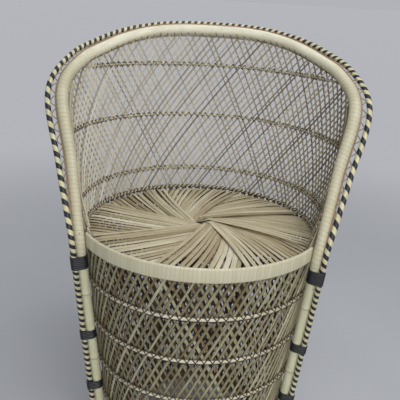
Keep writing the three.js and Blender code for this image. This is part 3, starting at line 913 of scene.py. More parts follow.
@dataclass(frozen=True)
class ChairShell:
    """Surface on which the two layers of sticks meet: a cone up to the seat, which flares to the rim."""

    axis_y: float
    seat_height: float = 450 * MM
    shoulder_height: float = 682 * MM
    rim_height: float = 749 * MM
    rim_fall: float = 1.7
    foot_radius: float = 156 * MM
    seat_radius: float = 206 * MM
    rim_half_width: float = 248 * MM
    rim_back_depth: float = 230 * MM
    drum_top: float = 438 * MM
    layer_offset: float = 1.52 * MM
    stick_thickness: float = 2.0 * MM

    def stick_face(self) -> float:
        """Distance from the shell to the outer face of a layer of sticks."""
        return self.layer_offset + self.stick_thickness / 2

    def drum_radius(self, z: float) -> float:
        """Radius of the drum at a height."""
        return lerp(self.foot_radius, self.seat_radius, z / self.seat_height)

    def rim_radius(self, angle: float) -> float:
        """Radius of the rim's oval at an angle."""
        across, back = self.rim_back_depth * math.cos(angle), self.rim_half_width * math.sin(angle)
        return self.rim_half_width * self.rim_back_depth / math.hypot(across, back)

    def rim_z(self, angle: float) -> float:
        """Height of the rim at an angle."""
        back = max(math.sin(angle), 0.0)
        return lerp(self.rim_height, self.shoulder_height, (1 - back ** 2) ** self.rim_fall)

    def radius(self, angle: float, z: float) -> float:
        """Radius of the shell.

        Args:
            angle: Angle about the drum's axis.
            z: Height above the floor.

        Returns:
            The radius there.
        """
        if z <= self.seat_height:
            return self.drum_radius(z)
        climb = (z - self.seat_height) / (self.rim_z(angle) - self.seat_height)
        return lerp(self.seat_radius, self.rim_radius(angle), climb)

    def polar(self, radius: float, angle: float, z: float) -> Vector:
        """Point about the drum's axis."""
        return Vector((radius * math.cos(angle), self.axis_y + radius * math.sin(angle), z))

    def normal(self, angle: float, z: float) -> Vector:
        """Outward direction of the shell.

        Args:
            angle: Angle about the drum's axis.
            z: Height above the floor.

        Returns:
            A unit direction.
        """
        turn, rise = 0.01, MM
        across = self.on_shell(angle + turn, z) - self.on_shell(angle - turn, z)
        upward = self.on_shell(angle, z + rise) - self.on_shell(angle, z - rise)
        return across.cross(upward).normalized()

    def on_shell(self, angle: float, z: float) -> Vector:
        """Point on the shell."""
        return self.polar(self.radius(angle, z), angle, z)

    def point(self, angle: float, z: float, offset: float = 0.0) -> Vector:
        """Point a distance outside the shell."""
        return self.on_shell(angle, z) + self.normal(angle, z) * offset

    def radial(self, point: Vector) -> Vector:
        """Level direction from the drum's axis to a point."""
        return Vector((point.x, point.y - self.axis_y, 0)).normalized()

    def angle_of(self, point: Vector) -> float:
        """Angle of a point about the drum's axis."""
        return math.atan2(point.y - self.axis_y, point.x)


@dataclass
class PoleLine:
    """Centre line of the poles: right foot, leg, post, rim, and down again to the left foot."""

    shell: ChairShell
    leg_offset: float = 17.91 * MM
    leg_foot_angle: float = -26.0
    leg_seat_angle: float = -31.0
    post_top_angle: float = 5.0
    shoulder_bend: float = 25 * MM
    leg_radius: float = 8 * MM
    rim_radius: float = 10.5 * MM
    arch_taper: float = 1.0 * MM
    splice_z: float = 403 * MM
    rod_radius: float = 4.8 * MM
    rod_gap: float = 0.6 * MM
    rod_spread: float = 9 * MM
    rod_return: float = 0.44
    taper_end: float = 0.45
    leg_shares: tuple[float, ...] = (0.0, 0.25, 0.5, 0.75)
    post_shares: tuple[float, ...] = (0.0, 0.5, 1.0)
    rim_angles: tuple[float, ...] = (22, 34, 47, 60, 74)
    samples: int = 60
    distance_stride: int = 4
    halvings: int = 40

    def __post_init__(self) -> None:
        """Samples the line and finds the shares of its main places."""
        half = [self.leg_point(share) for share in self.leg_shares]
        half += [self.post_point(share) for share in self.post_shares]
        half += [self.rim_point(math.radians(angle)) for angle in self.rim_angles]
        left = [Vector((-p.x, p.y, p.z)) for p in reversed(half)]
        self.line = catmull_rom([*half, self.rim_point(math.pi / 2), *left], self.samples)
        self.runs = run_lengths(self.line)
        self.length = self.runs[-1]
        self.splice = self.share_at(self.splice_z)
        self.shoulder = self.share_at(self.shell.shoulder_height)
        self.rod_leaves = self.share_at(self.shell.seat_height)
        self.rod_climbs = self.share_at(self.shell.shoulder_height - 2 * self.shoulder_bend)

    def leg_point(self, share: float) -> Vector:
        """Point on the leg.

        Args:
            share: Share of the seat's height.

        Returns:
            The point on the right leg's centre line.
        """
        z = share * self.shell.seat_height
        angle = math.radians(lerp(self.leg_foot_angle, self.leg_seat_angle, share))
        return self.shell.polar(self.shell.drum_radius(z) + self.leg_offset, angle, z)

    def post_point(self, share: float) -> Vector:
        """Point on the straight post between seat and shoulder.

        Args:
            share: Share of the post's length.

        Returns:
            The point on the right post's centre line.
        """
        angle = math.radians(self.post_top_angle)
        height = self.shell.shoulder_height - self.shoulder_bend
        top = self.shell.polar(self.shell.rim_radius(angle), angle, height)
        return self.leg_point(1.0).lerp(top, share)

    def rim_point(self, angle: float) -> Vector:
        """Point on the rim."""
        return self.shell.polar(self.shell.rim_radius(angle), angle, self.shell.rim_z(angle))

    def at(self, share: float) -> Vector:
        """Point on the line.

        Args:
            share: Share of the length.

        Returns:
            The point there.
        """
        run = clamp(share) * self.length
        i = clamp(bisect.bisect_right(self.runs, run) - 1, 0, len(self.line) - 2)
        span = self.runs[i + 1] - self.runs[i]
        return self.line[i].lerp(self.line[i + 1], (run - self.runs[i]) / span)

    def along(self, share: float) -> Vector:
        """Direction of travel at a share of the length."""
        step = 0.002
        return (self.at(share + step) - self.at(share - step)).normalized()

    def share_at(self, z: float) -> float:
        """Share at which the right half reaches a height.

        Args:
            z: The height.

        Returns:
            Share of the length, at most a half.
        """
        low, high = 0.0, 0.5
        for _ in range(self.halvings):
            middle = (low + high) / 2
            if self.at(middle).z < z:
                low = middle
            else:
                high = middle
        return low

    def radius_at(self, share: float) -> float:
        """Radius of the pole, which thickens from the leg's at the splice to the rim's at the shoulder."""
        post = lerp(self.leg_radius, self.rim_radius, smooth(from_end(share), self.splice, self.shoulder))
        return post - self.arch_taper * smooth(from_end(share), self.shoulder, self.taper_end)

    def outward(self, share: float, lift: float) -> Vector:
        """Direction square to the pole, outward on the posts and tipping up towards the top.

        Args:
            share: Share of the length.
            lift: How far it tips up at the top: 1 is halfway between level and upright.

        Returns:
            A unit direction.
        """
        rise = smooth(from_end(share), self.rod_climbs, self.rod_return) * lift
        away = self.shell.radial(self.at(share)) + UP * rise
        along = self.along(share)
        return (away - along * away.dot(along)).normalized()

    def inward(self, share: float) -> Vector:
        """Direction square to the pole and along the shell, towards the weave."""
        return self.along(share).cross(self.shell.radial(self.at(share))).normalized()

    def spread_at(self, share: float) -> float:
        """Gap between pole and rod beyond the least one, widest along the posts."""
        post = (from_end(share) - self.rod_leaves) / (self.rod_return - self.rod_leaves)
        return self.rod_spread * math.sin(clamp(post) * math.pi)

    def rod_at(self, share: float) -> Vector:
        """Point on the edging rod's centre line."""
        reach = self.radius_at(share) + self.rod_gap + self.rod_radius + self.spread_at(share)
        return self.at(share) + self.outward(share, 1.0) * reach

    def shares(self, start: float, end: float, step: float) -> list[float]:
        """Evenly spaced shares, about a step of length apart."""
        count = max(int(abs(end - start) * self.length / step), 1)
        return [lerp(start, end, i / count) for i in range(count + 1)]

    def distance(self, point: Vector) -> float:
        """Distance of a point from the centre line."""
        return min((point - p).length for p in self.line[::self.distance_stride])


@dataclass
class PoleFrame:
    """The bent pole, its front legs, and what is tied along its outside."""

    pole: PoleLine
    wrap_step: float = 5 * MM
    sides: int = 20
    wrap_fade: float = 0.95
    fade_before: float = 0.02
    fade_after: float = 0.06
    joint_heights: tuple[float, ...] = (338 * MM, 205 * MM, 76 * MM)
    joint_swell: float = 0.07
    joint_reach: float = 4 * MM
    joint_line: float = 3.0
    rod_clearance: float = 4 * MM
    rod_step: float = 3 * MM
    rod_sides: int = 14
    leg_stripe: float = 12 * MM
    post_stripe: float = 21.5 * MM
    rim_stripe: float = 12.5 * MM
    stripe_ease: float = 0.05
    shoulder_ease: float = 0.03
    liner_radius: float = 1.4 * MM
    liner_drop: float = 20 * MM
    liner_step: float = 6 * MM
    liner_lift: float = 2.4
    liner_bed: float = 0.8
    liner_sides: int = 8
    lacing_radius: float = 0.95 * MM
    lacing_rise: float = 4 * MM
    lacing_step: float = 2.4 * MM
    lacing_lift: float = 1.3
    lacing_wave: float = 23 * MM
    lacing_depth: float = 0.4
    lacing_sides: int = 6
    stitch_rise: float = 12 * MM
    stitch_step: float = 14 * MM
    stitch_width: float = 1.2 * MM
    stitch_thickness: float = 0.9 * MM
    stitch_lift: float = 0.35 * MM
    stitch_slant: float = 1.6 * MM
    stitch_points: int = 6
    stitch_sweep: Pair = (0.9, 1.25)
    stitch_tones: Pair = (0.0, 0.85)
    seed: int = 11

    def build(self) -> None:
        """Builds the pole and all that follows it."""
        self.build_bow()
        for side, flip in (("right", False), ("left", True)):
            self.build_leg(side, flip)
        self.build_rod()
        self.build_liner()
        self.build_lacing()
        self.build_stitches()

    def shares_above_seat(self, rise: float, step: float) -> list[float]:
        """Shares from a height over the seat on one side to the same height on the other."""
        start = self.pole.share_at(self.pole.shell.seat_height + rise)
        return self.pole.shares(start, 1 - start, step)

    def build_bow(self) -> None:
        """Wrapped bow from splice to splice."""
        pole = self.pole
        draft = MeshDraft()
        shares = pole.shares(pole.splice, 1 - pole.splice, self.wrap_step)
        path = [pole.at(share) for share in shares]
        outward = [-pole.outward(share, 1.0) for share in shares]
        scales = [pole.radius_at(share) for share in shares]
        low, high = pole.shoulder - self.fade_before, pole.shoulder + self.fade_after
        tones = [1 - self.wrap_fade * smooth(from_end(share), low, high) for share in shares]
        draft.sweep(path, outward, circle(1.0, self.sides), tones, scales)
        dress(draft.piece("wrapped_bow"), WrappedPeel(), Slot.POLE, "rim_bow")

    def build_leg(self, side: str, flip: bool) -> None:
        """Bare leg with swollen joints, cut level at the floor.

        Args:
            side: Side of the chair, for the names.
            flip: Whether the leg is the left one.
        """
        draft = MeshDraft()
        shares = self.pole.shares(0.0, self.pole.splice, self.joint_reach / 2)
        places = [1 - share for share in shares] if flip else shares
        path = [self.pole.at(share) for share in places]
        outward = [-self.pole.outward(share, 1.0) for share in places]
        near = [min(abs(p.z - z) for z in self.joint_heights) / self.joint_reach for p in path]
        scales = [self.pole.leg_radius * (1 + self.joint_swell * math.exp(-gap * gap)) for gap in near]
        tones = [math.exp(-(self.joint_line * gap) ** 2) for gap in near]
        draft.sweep(path, outward, circle(1.0, self.sides), tones, scales)
        slope = (path[1] - path[0]).normalized()
        for i in range(self.sides):
            draft.points[i] -= slope * (draft.points[i].z / slope.z)
        dress(draft.piece(f"{side}_bare_leg"), BarePole(), Slot.POLE, f"{side}_front_leg")

    def stripe_at(self, share: float) -> float:
        """Length of one turn of the stripes.

        Args:
            share: Share of the pole's length.

        Returns:
            The length there.
        """
        end, splice, shoulder = from_end(share), self.pole.splice, self.pole.shoulder
        low = lerp(self.leg_stripe, self.post_stripe, smooth(end, splice, splice + self.stripe_ease))
        climb = smooth(end, shoulder - self.shoulder_ease, shoulder + self.shoulder_ease)
        return lerp(low, self.rim_stripe, climb)

    def build_rod(self) -> None:
        """Edging rod with its two spiral stripes."""
        draft = MeshDraft()
        foot = self.pole.share_at(self.rod_clearance + self.pole.rod_radius)
        shares = self.pole.shares(foot, 1 - foot, self.rod_step)
        path = [self.pole.rod_at(share) for share in shares]
        outward = [-self.pole.outward(share, 1.0) for share in shares]
        turns = [0.0]
        for share, before, after in zip(shares, path, path[1:]):
            turns.append(turns[-1] + (after - before).length / self.stripe_at(share))
        section = circle(self.pole.rod_radius, self.rod_sides)
        draft.sweep(path, outward, section, [MIDDLE_TONE], runs=turns)
        dress(draft.piece("striped_edging_rod"), StripedPeel(), Slot.DARK, "edging_rod")

    def build_liner(self) -> None:
        """Thin cane laid against the outside of the bow."""
        draft = MeshDraft()
        shares = self.shares_above_seat(-self.liner_drop, self.liner_step)
        outward = [self.pole.outward(share, self.liner_lift) for share in shares]
        bed = self.liner_radius * self.liner_bed
        path = [self.pole.at(share) + out * (self.pole.radius_at(share) + bed)
                for share, out in zip(shares, outward)]
        draft.rod(path, outward, self.liner_radius, self.liner_sides)
        dress(draft.piece("liner_cane"), LinerCane(), Slot.POLE)

    def build_lacing(self) -> None:
        """Wavy cane that laces rod and bow together along posts and rim."""
        pole = self.pole
        draft = MeshDraft()
        path, outward = [], []
        for share in self.shares_above_seat(self.lacing_rise, self.lacing_step):
            center, out = pole.at(share), pole.outward(share, self.lacing_lift)
            inner = pole.radius_at(share) + self.lacing_radius
            outer = (pole.rod_at(share) - center).length - pole.rod_radius
            turn = FULL_TURN * share * pole.length / self.lacing_wave
            reach = lerp(inner, max(outer, inner), 0.5 + 0.5 * math.sin(turn))
            side = out.cross(pole.along(share)) * (pole.rod_radius * self.lacing_depth * math.cos(turn))
            path.append(center + out * reach + side)
            outward.append(out)
        draft.rod(path, outward, self.lacing_radius, self.lacing_sides)
        dress(draft.piece("lacing_cane"), LacingCane(), Slot.HOOP)

    def build_stitches(self) -> None:
        """Short dark stitches that tie the stick ends to the inside of the bow."""
        draft = MeshDraft()
        chance = random.Random(self.seed)
        section = Section.CROWNED_STRIP.sized(self.stitch_width, self.stitch_thickness)
        for share in self.shares_above_seat(self.stitch_rise, self.stitch_step):
            center, along, inward = self.pole.at(share), self.pole.along(share), self.pole.inward(share)
            side = along.cross(inward)
            reach = self.pole.radius_at(share) + self.stitch_lift
            path, outward = [], []
            sweep = chance.uniform(*self.stitch_sweep)
            for k in range(self.stitch_points):
                turn = lerp(-1.0, 1.0, k / (self.stitch_points - 1)) * sweep
                out = inward * math.cos(turn) + side * math.sin(turn)
                path.append(center + out * reach + along * (turn * self.stitch_slant))
                outward.append(out)
            draft.sweep(path, outward, section, [chance.uniform(*self.stitch_tones)])
        dress(draft.piece("rim_stitches"), DarkTwine(), Slot.DARK)


@dataclass
class LegBindings:
    """Black bindings round each leg and the edging rod beside it."""

    pole: PoleLine
    seat_drop: float = 47 * MM
    rises: tuple[float, ...] = (0.573, 0.329, 0.089)
    seat_height: float = 25 * MM
    leg_height: float = 17 * MM
    strand: float = 3.6 * MM
    wall: float = 1.5 * MM
    least_wall: float = 0.45
    clearance: float = 0.1 * MM
    sides: int = 40
    rings_per_turn: int = 6

    def build(self) -> None:
        """Builds the four bindings of each leg."""
        level = self.pole.shell.seat_height
        rows = [("seat", level - self.seat_drop, self.seat_height)]
        for name, rise in zip(("upper", "lower", "foot"), self.rises):
            rows.append((name, rise * level, self.leg_height))
        for name, z, height in rows:
            share = self.pole.share_at(z)
            self.build_binding(f"right_{name}", share, height)
            self.build_binding(f"left_{name}", 1 - share, height)

    def belt(self, large: float, small: float, apart: float) -> list[Pair]:
        """Outline round two circles whose centres lie apart.

        Args:
            large: Radius round the pole.
            small: Radius round the rod.
            apart: Distance between their centres.

        Returns:
            Points as distances towards the rod and across it.
        """
        lean = math.acos((large - small) / apart)
        outline = []
        for k in range(self.sides):
            turn = lerp(-math.pi, math.pi, k / self.sides)
            if abs(turn) < lean:
                outline.append((apart + small * math.cos(turn), small * math.sin(turn)))
            else:
                outline.append((large * math.cos(turn), large * math.sin(turn)))
        return outline

    def build_binding(self, name: str, share: float, height: float) -> None:
        """Binding of close turns of peel, crowned turn by turn.

        Args:
            name: Side and place, as in the solid's name.
            share: Share of the pole's length at its middle.
            height: Its height.
        """
        draft = MeshDraft()
        center, along = self.pole.at(share), self.pole.along(share)
        across = self.pole.rod_at(share) - center
        across -= along * across.dot(along)
        apart = across.length
        across.normalize()
        side = along.cross(across)
        steps = round(height / self.strand) * self.rings_per_turn
        rings = []
        for i in range(steps + 1):
            place = lerp(-height / 2, height / 2, i / steps)
            crown = abs(math.sin(math.pi * i / self.rings_per_turn)) ** 0.5
            rings.append((place, self.wall * lerp(self.least_wall, 1.0, crown)))
        rings = [(rings[0][0], 0.0), *rings, (rings[-1][0], 0.0)]
        large, small = self.pole.radius_at(share) + self.clearance, self.pole.rod_radius + self.clearance
        for place, wall in rings:
            for toward, aside in self.belt(large + wall, small + wall, apart):
                draft.points.append(center + across * toward + side * aside + along * place)
                draft.tones.append(MIDDLE_TONE)
        runs = [place + height for place, _ in rings]
        draft.join_rings(0, self.sides, len(rings), [*runs, runs[0]], True)
        dress(draft.piece(f"{name}_peel_binding"), BlackPeel(), Slot.DARK, f"{name}_binding")


@dataclass(frozen=True)
class StickSet:
    """Sticks of drum or back: how many go round, their widths, how far they stray, and their tones."""

    count: int
    width: float
    width_range: Pair
    stray: float
    tone: float
    dark: float
    dark_share: float

    def pitch(self) -> float:
        """Angle between neighbouring sticks."""
        return FULL_TURN / self.count


@dataclass(frozen=True)
class TieCane:
    """Tying cane over a hoop: how far it reaches up and down, its width and its tones."""

    reach: float
    reach_range: Pair
    width: float
    tones: Pair


@dataclass
class StickWeave:
    """Open lattice of leaning sticks: drum and back, with the hoops and ties that hold it."""

    shell: ChairShell
    pole: PoleLine
    drum: StickSet = StickSet(90, 4.4 * MM, (0.82, 1.12), 0.06, 0.51, 0.13, 0.08)
    back: StickSet = StickSet(116, 2.9 * MM, (0.8, 1.15), 0.09, 0.78, 0.24, 0.15)
    drum_tie: TieCane = TieCane(5.4 * MM, (0.95, 1.15), 1.5 * MM, (0.0, 0.5))
    back_tie: TieCane = TieCane(4.0 * MM, (0.75, 1.2), 1.05 * MM, (0.0, 0.75))
    tone_spread: float = 0.17
    tone_limits: Pair = (0.22, 0.98)
    dark_spread: float = 0.05
    drum_foot: float = 6 * MM
    drum_steps: int = 14
    drum_sway: float = 0.10
    # painted shade between the two layers of the drum: inner darker, outer paler
    drum_layer_painted_shade: float = 0.03
    rear_fill: float = 0.4
    rear_ease: Pair = (-0.1, 0.5)
    half_cells: int = 6
    left_lean: float = 26.0
    right_lean: float = 37.0
    back_step: float = 6 * MM
    back_thinning: int = 2
    fewest_points: int = 4
    edge_slack: float = 0.01
    pole_clearance: float = 6.5 * MM
    # painted shade and light across the back: darker to the right, paler to the left
    back_painted_side_shade: float = 0.12
    rail_height: float = 24 * MM
    hoop_drop: float = 67 * MM
    hoop_pitch: float = 82 * MM
    hoop_count: int = 4
    hoop_radius: float = 2.8 * MM
    hoop_steps: int = 160
    hoop_sides: int = 10
    hoop_tones: Pair = (0.34, 0.9)
    hoop_front: float = 4.0
    back_rises: tuple[float, ...] = (0.085, 0.45, 0.78)
    back_hoop_radius: float = 2.2 * MM
    inner_reed_radius: float = 0.8 * MM
    back_hoop_steps: int = 90
    back_hoop_sides: int = 8
    back_hoop_tone: float = 0.85
    hoop_end_gap: float = 16 * MM
    hoop_end_step: float = 0.01
    lowest_end: float = -0.6
    tie_shares: tuple[float, ...] = (0.0, 0.25, 0.5, 0.75, 1.0)
    tie_hump: float = 1.5
    tie_thickness: float = 0.9 * MM
    tie_lift: float = 0.3 * MM
    tie_sink: float = 0.8 * MM
    crossing_lift: float = 0.35 * MM
    knot_swell: float = 1.5
    zigzag_start: float = 0.6 * MM
    zigzag_margin: float = 0.03
    zigzag_stray: float = 0.07
    zigzag_tones: Pair = (0.45, 1.0)
    seed: int = 5

    def __post_init__(self) -> None:
        """Sets the turns of the sticks, so that they cross on each hoop."""
        shell = self.shell
        self.chance = random.Random(self.seed)
        self.drum_turn = self.half_cells * self.drum.pitch() / 2 / self.hoop_pitch
        top = shell.seat_height - self.rail_height - self.hoop_drop
        self.drum_hoops = [top - k * self.hoop_pitch for k in range(self.hoop_count)]
        self.back_hoops = [lerp(shell.seat_height, shell.rim_height, rise) for rise in self.back_rises]
        mean = (shell.seat_radius + shell.rim_back_depth) / 2
        self.left_turn = math.tan(math.radians(self.left_lean)) / mean
        self.right_turn = math.tan(math.radians(self.right_lean)) / mean

    def build(self) -> None:
        """Builds the lattice and its hoops."""
        for layer in Layer:
            self.build_drum(layer)
            self.build_back(layer)
        for k, z in enumerate(self.drum_hoops):
            self.build_drum_hoop(f"drum_hoop_{k + 1}", z)
        for k, z in enumerate(self.back_hoops):
            self.build_back_hoop(f"back_hoop_{k + 1}", z)

    def drum_angle(self, layer: Layer, index: float, z: float) -> float:
        """Angle of a drum stick at a height; both layers cross on the top hoop."""
        return index * self.drum.pitch() + layer.value * self.drum_turn * (z - self.drum_hoops[0])

    def back_angle(self, layer: Layer, index: float, z: float) -> float:
        """Angle of a back stick at a height."""
        turn = self.left_turn if layer is Layer.OUTER else self.right_turn
        return index * self.back.pitch() + layer.value * turn * (z - self.shell.drum_top)

    def stick_tone(self, sticks: StickSet, layer: Layer, middle: float) -> float:
        """Tone of one stick: mostly about the middle, on the inner layer now and then about the dark one.

        Args:
            sticks: Set that the stick belongs to.
            layer: Its layer.
            middle: Usual tone at its place.

        Returns:
            The tone.
        """
        dark_share = 0.0 if layer is Layer.OUTER else sticks.dark_share
        if self.chance.random() < dark_share:
            return sticks.dark + self.chance.uniform(-self.dark_spread, self.dark_spread)
        return clamp(self.chance.gauss(middle, self.tone_spread), *self.tone_limits)

    def lay_stick(self, draft: MeshDraft, layer: Layer, width: float, places: Sequence[Pair],
                  tone: float) -> None:
        """Adds one stick on its layer.

        Args:
            draft: Mesh that takes it.
            layer: Layer of the weave.
            width: Its width.
            places: Angle and height of its points.
            tone: Its tone.
        """
        offset = layer.value * self.shell.layer_offset
        path = [self.shell.point(angle, z, offset) for angle, z in places]
        outward = [self.shell.normal(angle, z) * layer.value for angle, z in places]
        section = Section.SPLIT_REED.sized(width, self.shell.stick_thickness)
        draft.sweep(path, outward, section, [tone], runs=own_grain(path, self.chance))

    def build_drum(self, layer: Layer) -> None:
        """Sticks of one layer of the drum, wider on its rear half, which keeps the hollow dark.

        Args:
            layer: Layer of the weave.
        """
        draft = MeshDraft()
        sticks, steps = self.drum, self.drum_steps
        heights = [lerp(self.drum_foot, self.shell.drum_top, i / steps) for i in range(steps + 1)]
        for k in range(sticks.count):
            index = k + self.chance.gauss(0.0, sticks.stray)
            bow = self.chance.gauss(0.0, self.drum_sway)
            bent = [index + bow * math.sin(FULL_TURN * i / steps) for i in range(steps + 1)]
            places = [(self.drum_angle(layer, spot, z), z) for spot, z in zip(bent, heights)]
            width = sticks.width * self.chance.uniform(*sticks.width_range)
            width *= 1 + self.rear_fill * smooth(math.sin(index * sticks.pitch()), *self.rear_ease)
            # painted shade: the inner layer of the drum is toned darker and the outer paler, as the inner
            # one lies in shade
            tone = self.stick_tone(sticks, layer, sticks.tone + self.drum_layer_painted_shade * layer.value)
            self.lay_stick(draft, layer, width, places, tone)
        name = layer.name.lower()
        # the drum reeds darken the side of each stick towards the hollow with painted shade
        finish = DrumReed() if layer is Layer.OUTER else InnerDrumReed()
        dress(draft.piece(f"drum_sticks_{name}"), finish, Slot.WEAVE, f"drum_splints_{name}")

    def back_places(self, layer: Layer, index: float) -> list[Pair]:
        """Places of a back stick, as far as it runs inside posts and rim.

        Args:
            layer: Layer of the weave.
            index: Which stick, counted round the chair.

        Returns:
            Angles and heights along its longest stretch.
        """
        shell, pole = self.shell, self.pole
        longest, stretch = [], []
        z = shell.drum_top
        while z < shell.rim_height:
            angle = self.back_angle(layer, index, z)
            edge = shell.angle_of(pole.at(pole.share_at(min(z, shell.shoulder_height)))) - self.edge_slack
            inside = edge < angle < math.pi - edge and z < shell.rim_z(angle)
            if inside and pole.distance(shell.point(angle, z)) > self.pole_clearance:
                stretch.append((angle, z))
            else:
                stretch = []
            if len(stretch) > len(longest):
                longest = stretch
            z += self.back_step
        return longest

    def build_back(self, layer: Layer) -> None:
        """Sticks of one layer of the back.

        Args:
            layer: Layer of the weave.
        """
        draft = MeshDraft()
        sticks = self.back
        for k in range(-sticks.count, sticks.count):
            index = k + self.chance.gauss(0.0, sticks.stray)
            places = self.back_places(layer, index)
            if len(places) < self.fewest_points:
                continue
            places = places[:-1:self.back_thinning] + places[-1:]
            width = sticks.width * self.chance.uniform(*sticks.width_range)
            angle, _ = places[len(places) // 2]
            # painted shade and light: the back's sticks are toned darker towards its right side and paler
            # towards its left, as light from the right falls on the inside
            tone = self.stick_tone(sticks, layer, sticks.tone - self.back_painted_side_shade * math.cos(angle))
            self.lay_stick(draft, layer, width, places, tone)
        name = layer.name.lower()
        dress(draft.piece(f"back_sticks_{name}"), StickReed(), Slot.WEAVE, f"back_splints_{name}")

    def strand(self, draft: MeshDraft, facing: Layer, ends: Sequence[Pair],
               rise: Pair, width: float, tones: Pair) -> None:
        """Adds one slanting strand of tying cane over a hoop.

        Args:
            draft: Mesh that takes it.
            facing: Side of the weave that it shows on.
            ends: Angle and height of its two ends.
            rise: Distance from the shell at its ends and at its middle.
            width: Its width.
            tones: Tone at its ends and at its middle.
        """
        (first, low), (last, high) = ends
        path, outward, shades, scales = [], [], [], []
        for share in self.tie_shares:
            angle, z = lerp(first, last, share), lerp(low, high, share)
            middle = 1 - abs(2 * share - 1) ** self.tie_hump
            path.append(self.shell.point(angle, z, facing.value * lerp(*rise, middle)))
            outward.append(self.shell.normal(angle, z) * facing.value)
            shades.append(lerp(*tones, middle))
            scales.append(lerp(self.knot_swell, 1.0, middle))
        section = Section.CROWNED_STRIP.sized(width, self.tie_thickness)
        draft.sweep(path, outward, section, shades, scales)

    def cross_tie(self, draft: MeshDraft, angle: float, z: float, rise: Pair) -> None:
        """Adds a crossed tie of two strands over a drum hoop.

        Args:
            draft: Mesh that takes it.
            angle: Angle of the crossing.
            z: Height of the hoop.
            rise: Distance from the shell at the strands' ends and at their middle.
        """
        for lean, lift in ((1, self.crossing_lift), (-1, 0.0)):
            reach = self.drum_tie.reach * self.chance.uniform(*self.drum_tie.reach_range)
            turn = lean * reach / self.shell.radius(angle, z)
            tone = self.chance.uniform(*self.drum_tie.tones)
            self.strand(draft, Layer.OUTER, ((angle - turn, z - reach), (angle + turn, z + reach)),
                        (rise[0] + lift, rise[1] + lift), self.drum_tie.width, (tone, tone))

    def zigzag(self, draft: MeshDraft, facing: Layer, z: float, marks: Sequence[float], rise: Pair) -> None:
        """Adds the zigzag of tying cane along a back hoop, knotted dark at each turn.

        Args:
            draft: Mesh that takes it.
            facing: Side of the weave that it shows on.
            z: Height of the hoop.
            marks: Angles of its turns, upper and lower by turns.
            rise: Distance from the shell at the turns and between them.
        """
        knots = []
        for k, angle in enumerate(marks):
            reach = self.back_tie.reach * self.chance.uniform(*self.back_tie.reach_range)
            knots.append((angle, z + (reach if k % 2 else -reach)))
        for ends in zip(knots, knots[1:]):
            tones = self.chance.uniform(*self.back_tie.tones), self.chance.uniform(*self.zigzag_tones)
            self.strand(draft, facing, ends, rise, self.back_tie.width, tones)

    def ring(self, draft: MeshDraft, z: float, offset: float) -> None:
        """Adds a closed reed ring round the drum, palest where light falls on its front.

        Args:
            draft: Mesh that takes it.
            z: Its height.
            offset: Distance of its centre line from the shell.
        """
        steps = self.hoop_steps
        angles = [FULL_TURN * i / steps for i in range(steps)]
        path = [self.shell.point(angle, z, offset) for angle in angles]
        outward = [self.shell.normal(angle, z) for angle in angles]
        runs = [i * FULL_TURN * self.shell.drum_radius(z) / steps for i in range(steps + 1)]
        tones = [lerp(*self.hoop_tones, max(-math.sin(angle), 0.0) ** self.hoop_front) for angle in angles]
        section = circle(self.hoop_radius, self.hoop_sides)
        draft.sweep(path, outward, section, tones, runs=runs, closed=True)

    def build_drum_hoop(self, name: str, z: float) -> None:
        """Pale hoop outside the drum with a dark crossed tie on each crossing.

        Args:
            name: The hoop's solid.
            z: Its height.
        """
        draft = MeshDraft()
        offset = self.shell.stick_face() + self.hoop_radius
        self.ring(draft, z, offset)
        dress(draft.piece(f"{name}_reed"), HoopReed(), Slot.HOOP, name)
        ties = MeshDraft()
        rise = offset - self.tie_sink, offset + self.hoop_radius + self.tie_lift
        for k in range(self.drum.count):
            self.cross_tie(ties, self.drum_angle(Layer.OUTER, k, z), z, rise)
        dress(ties.piece(f"{name}_ties"), DarkTwine(), Slot.DARK)

    def build_back_hoop(self, name: str, z: float) -> None:
        """Reed outside the back, a thinner one inside, and the ties that clamp the sticks between them.

        Args:
            name: The hoop's solid.
            z: Its height.
        """
        shell, pitch = self.shell, self.back.pitch()
        end = math.pi / 2
        while self.pole.distance(shell.point(end, z)) > self.hoop_end_gap and end > self.lowest_end:
            end -= self.hoop_end_step
        steps = self.back_hoop_steps
        angles = [lerp(end, math.pi - end, i / steps) for i in range(steps + 1)]
        normals = [shell.normal(angle, z) for angle in angles]
        face = shell.stick_face()
        draft = MeshDraft()
        reeds = ((Layer.OUTER, self.back_hoop_radius), (Layer.INNER, self.inner_reed_radius))
        for side, radius in reeds:
            path = [shell.point(angle, z, side.value * (face + radius)) for angle in angles]
            draft.rod(path, normals, radius, self.back_hoop_sides, self.back_hoop_tone)
        dress(draft.piece(f"{name}_reeds"), HoopReed(), Slot.HOOP, name)
        ties = MeshDraft()
        first = math.ceil((end + self.zigzag_margin) / pitch)
        last = int((math.pi - end - self.zigzag_margin) / pitch)
        for side, radius in reeds:
            marks = [(k / 2 + self.chance.gauss(0.0, self.zigzag_stray)) * pitch
                     for k in range(2 * first, 2 * last + 1)]
            rise = face + self.zigzag_start, face + 2 * radius + self.tie_lift
            self.zigzag(ties, side, z, marks, rise)
        dress(ties.piece(f"{name}_ties"), DarkTwine(), Slot.DARK)


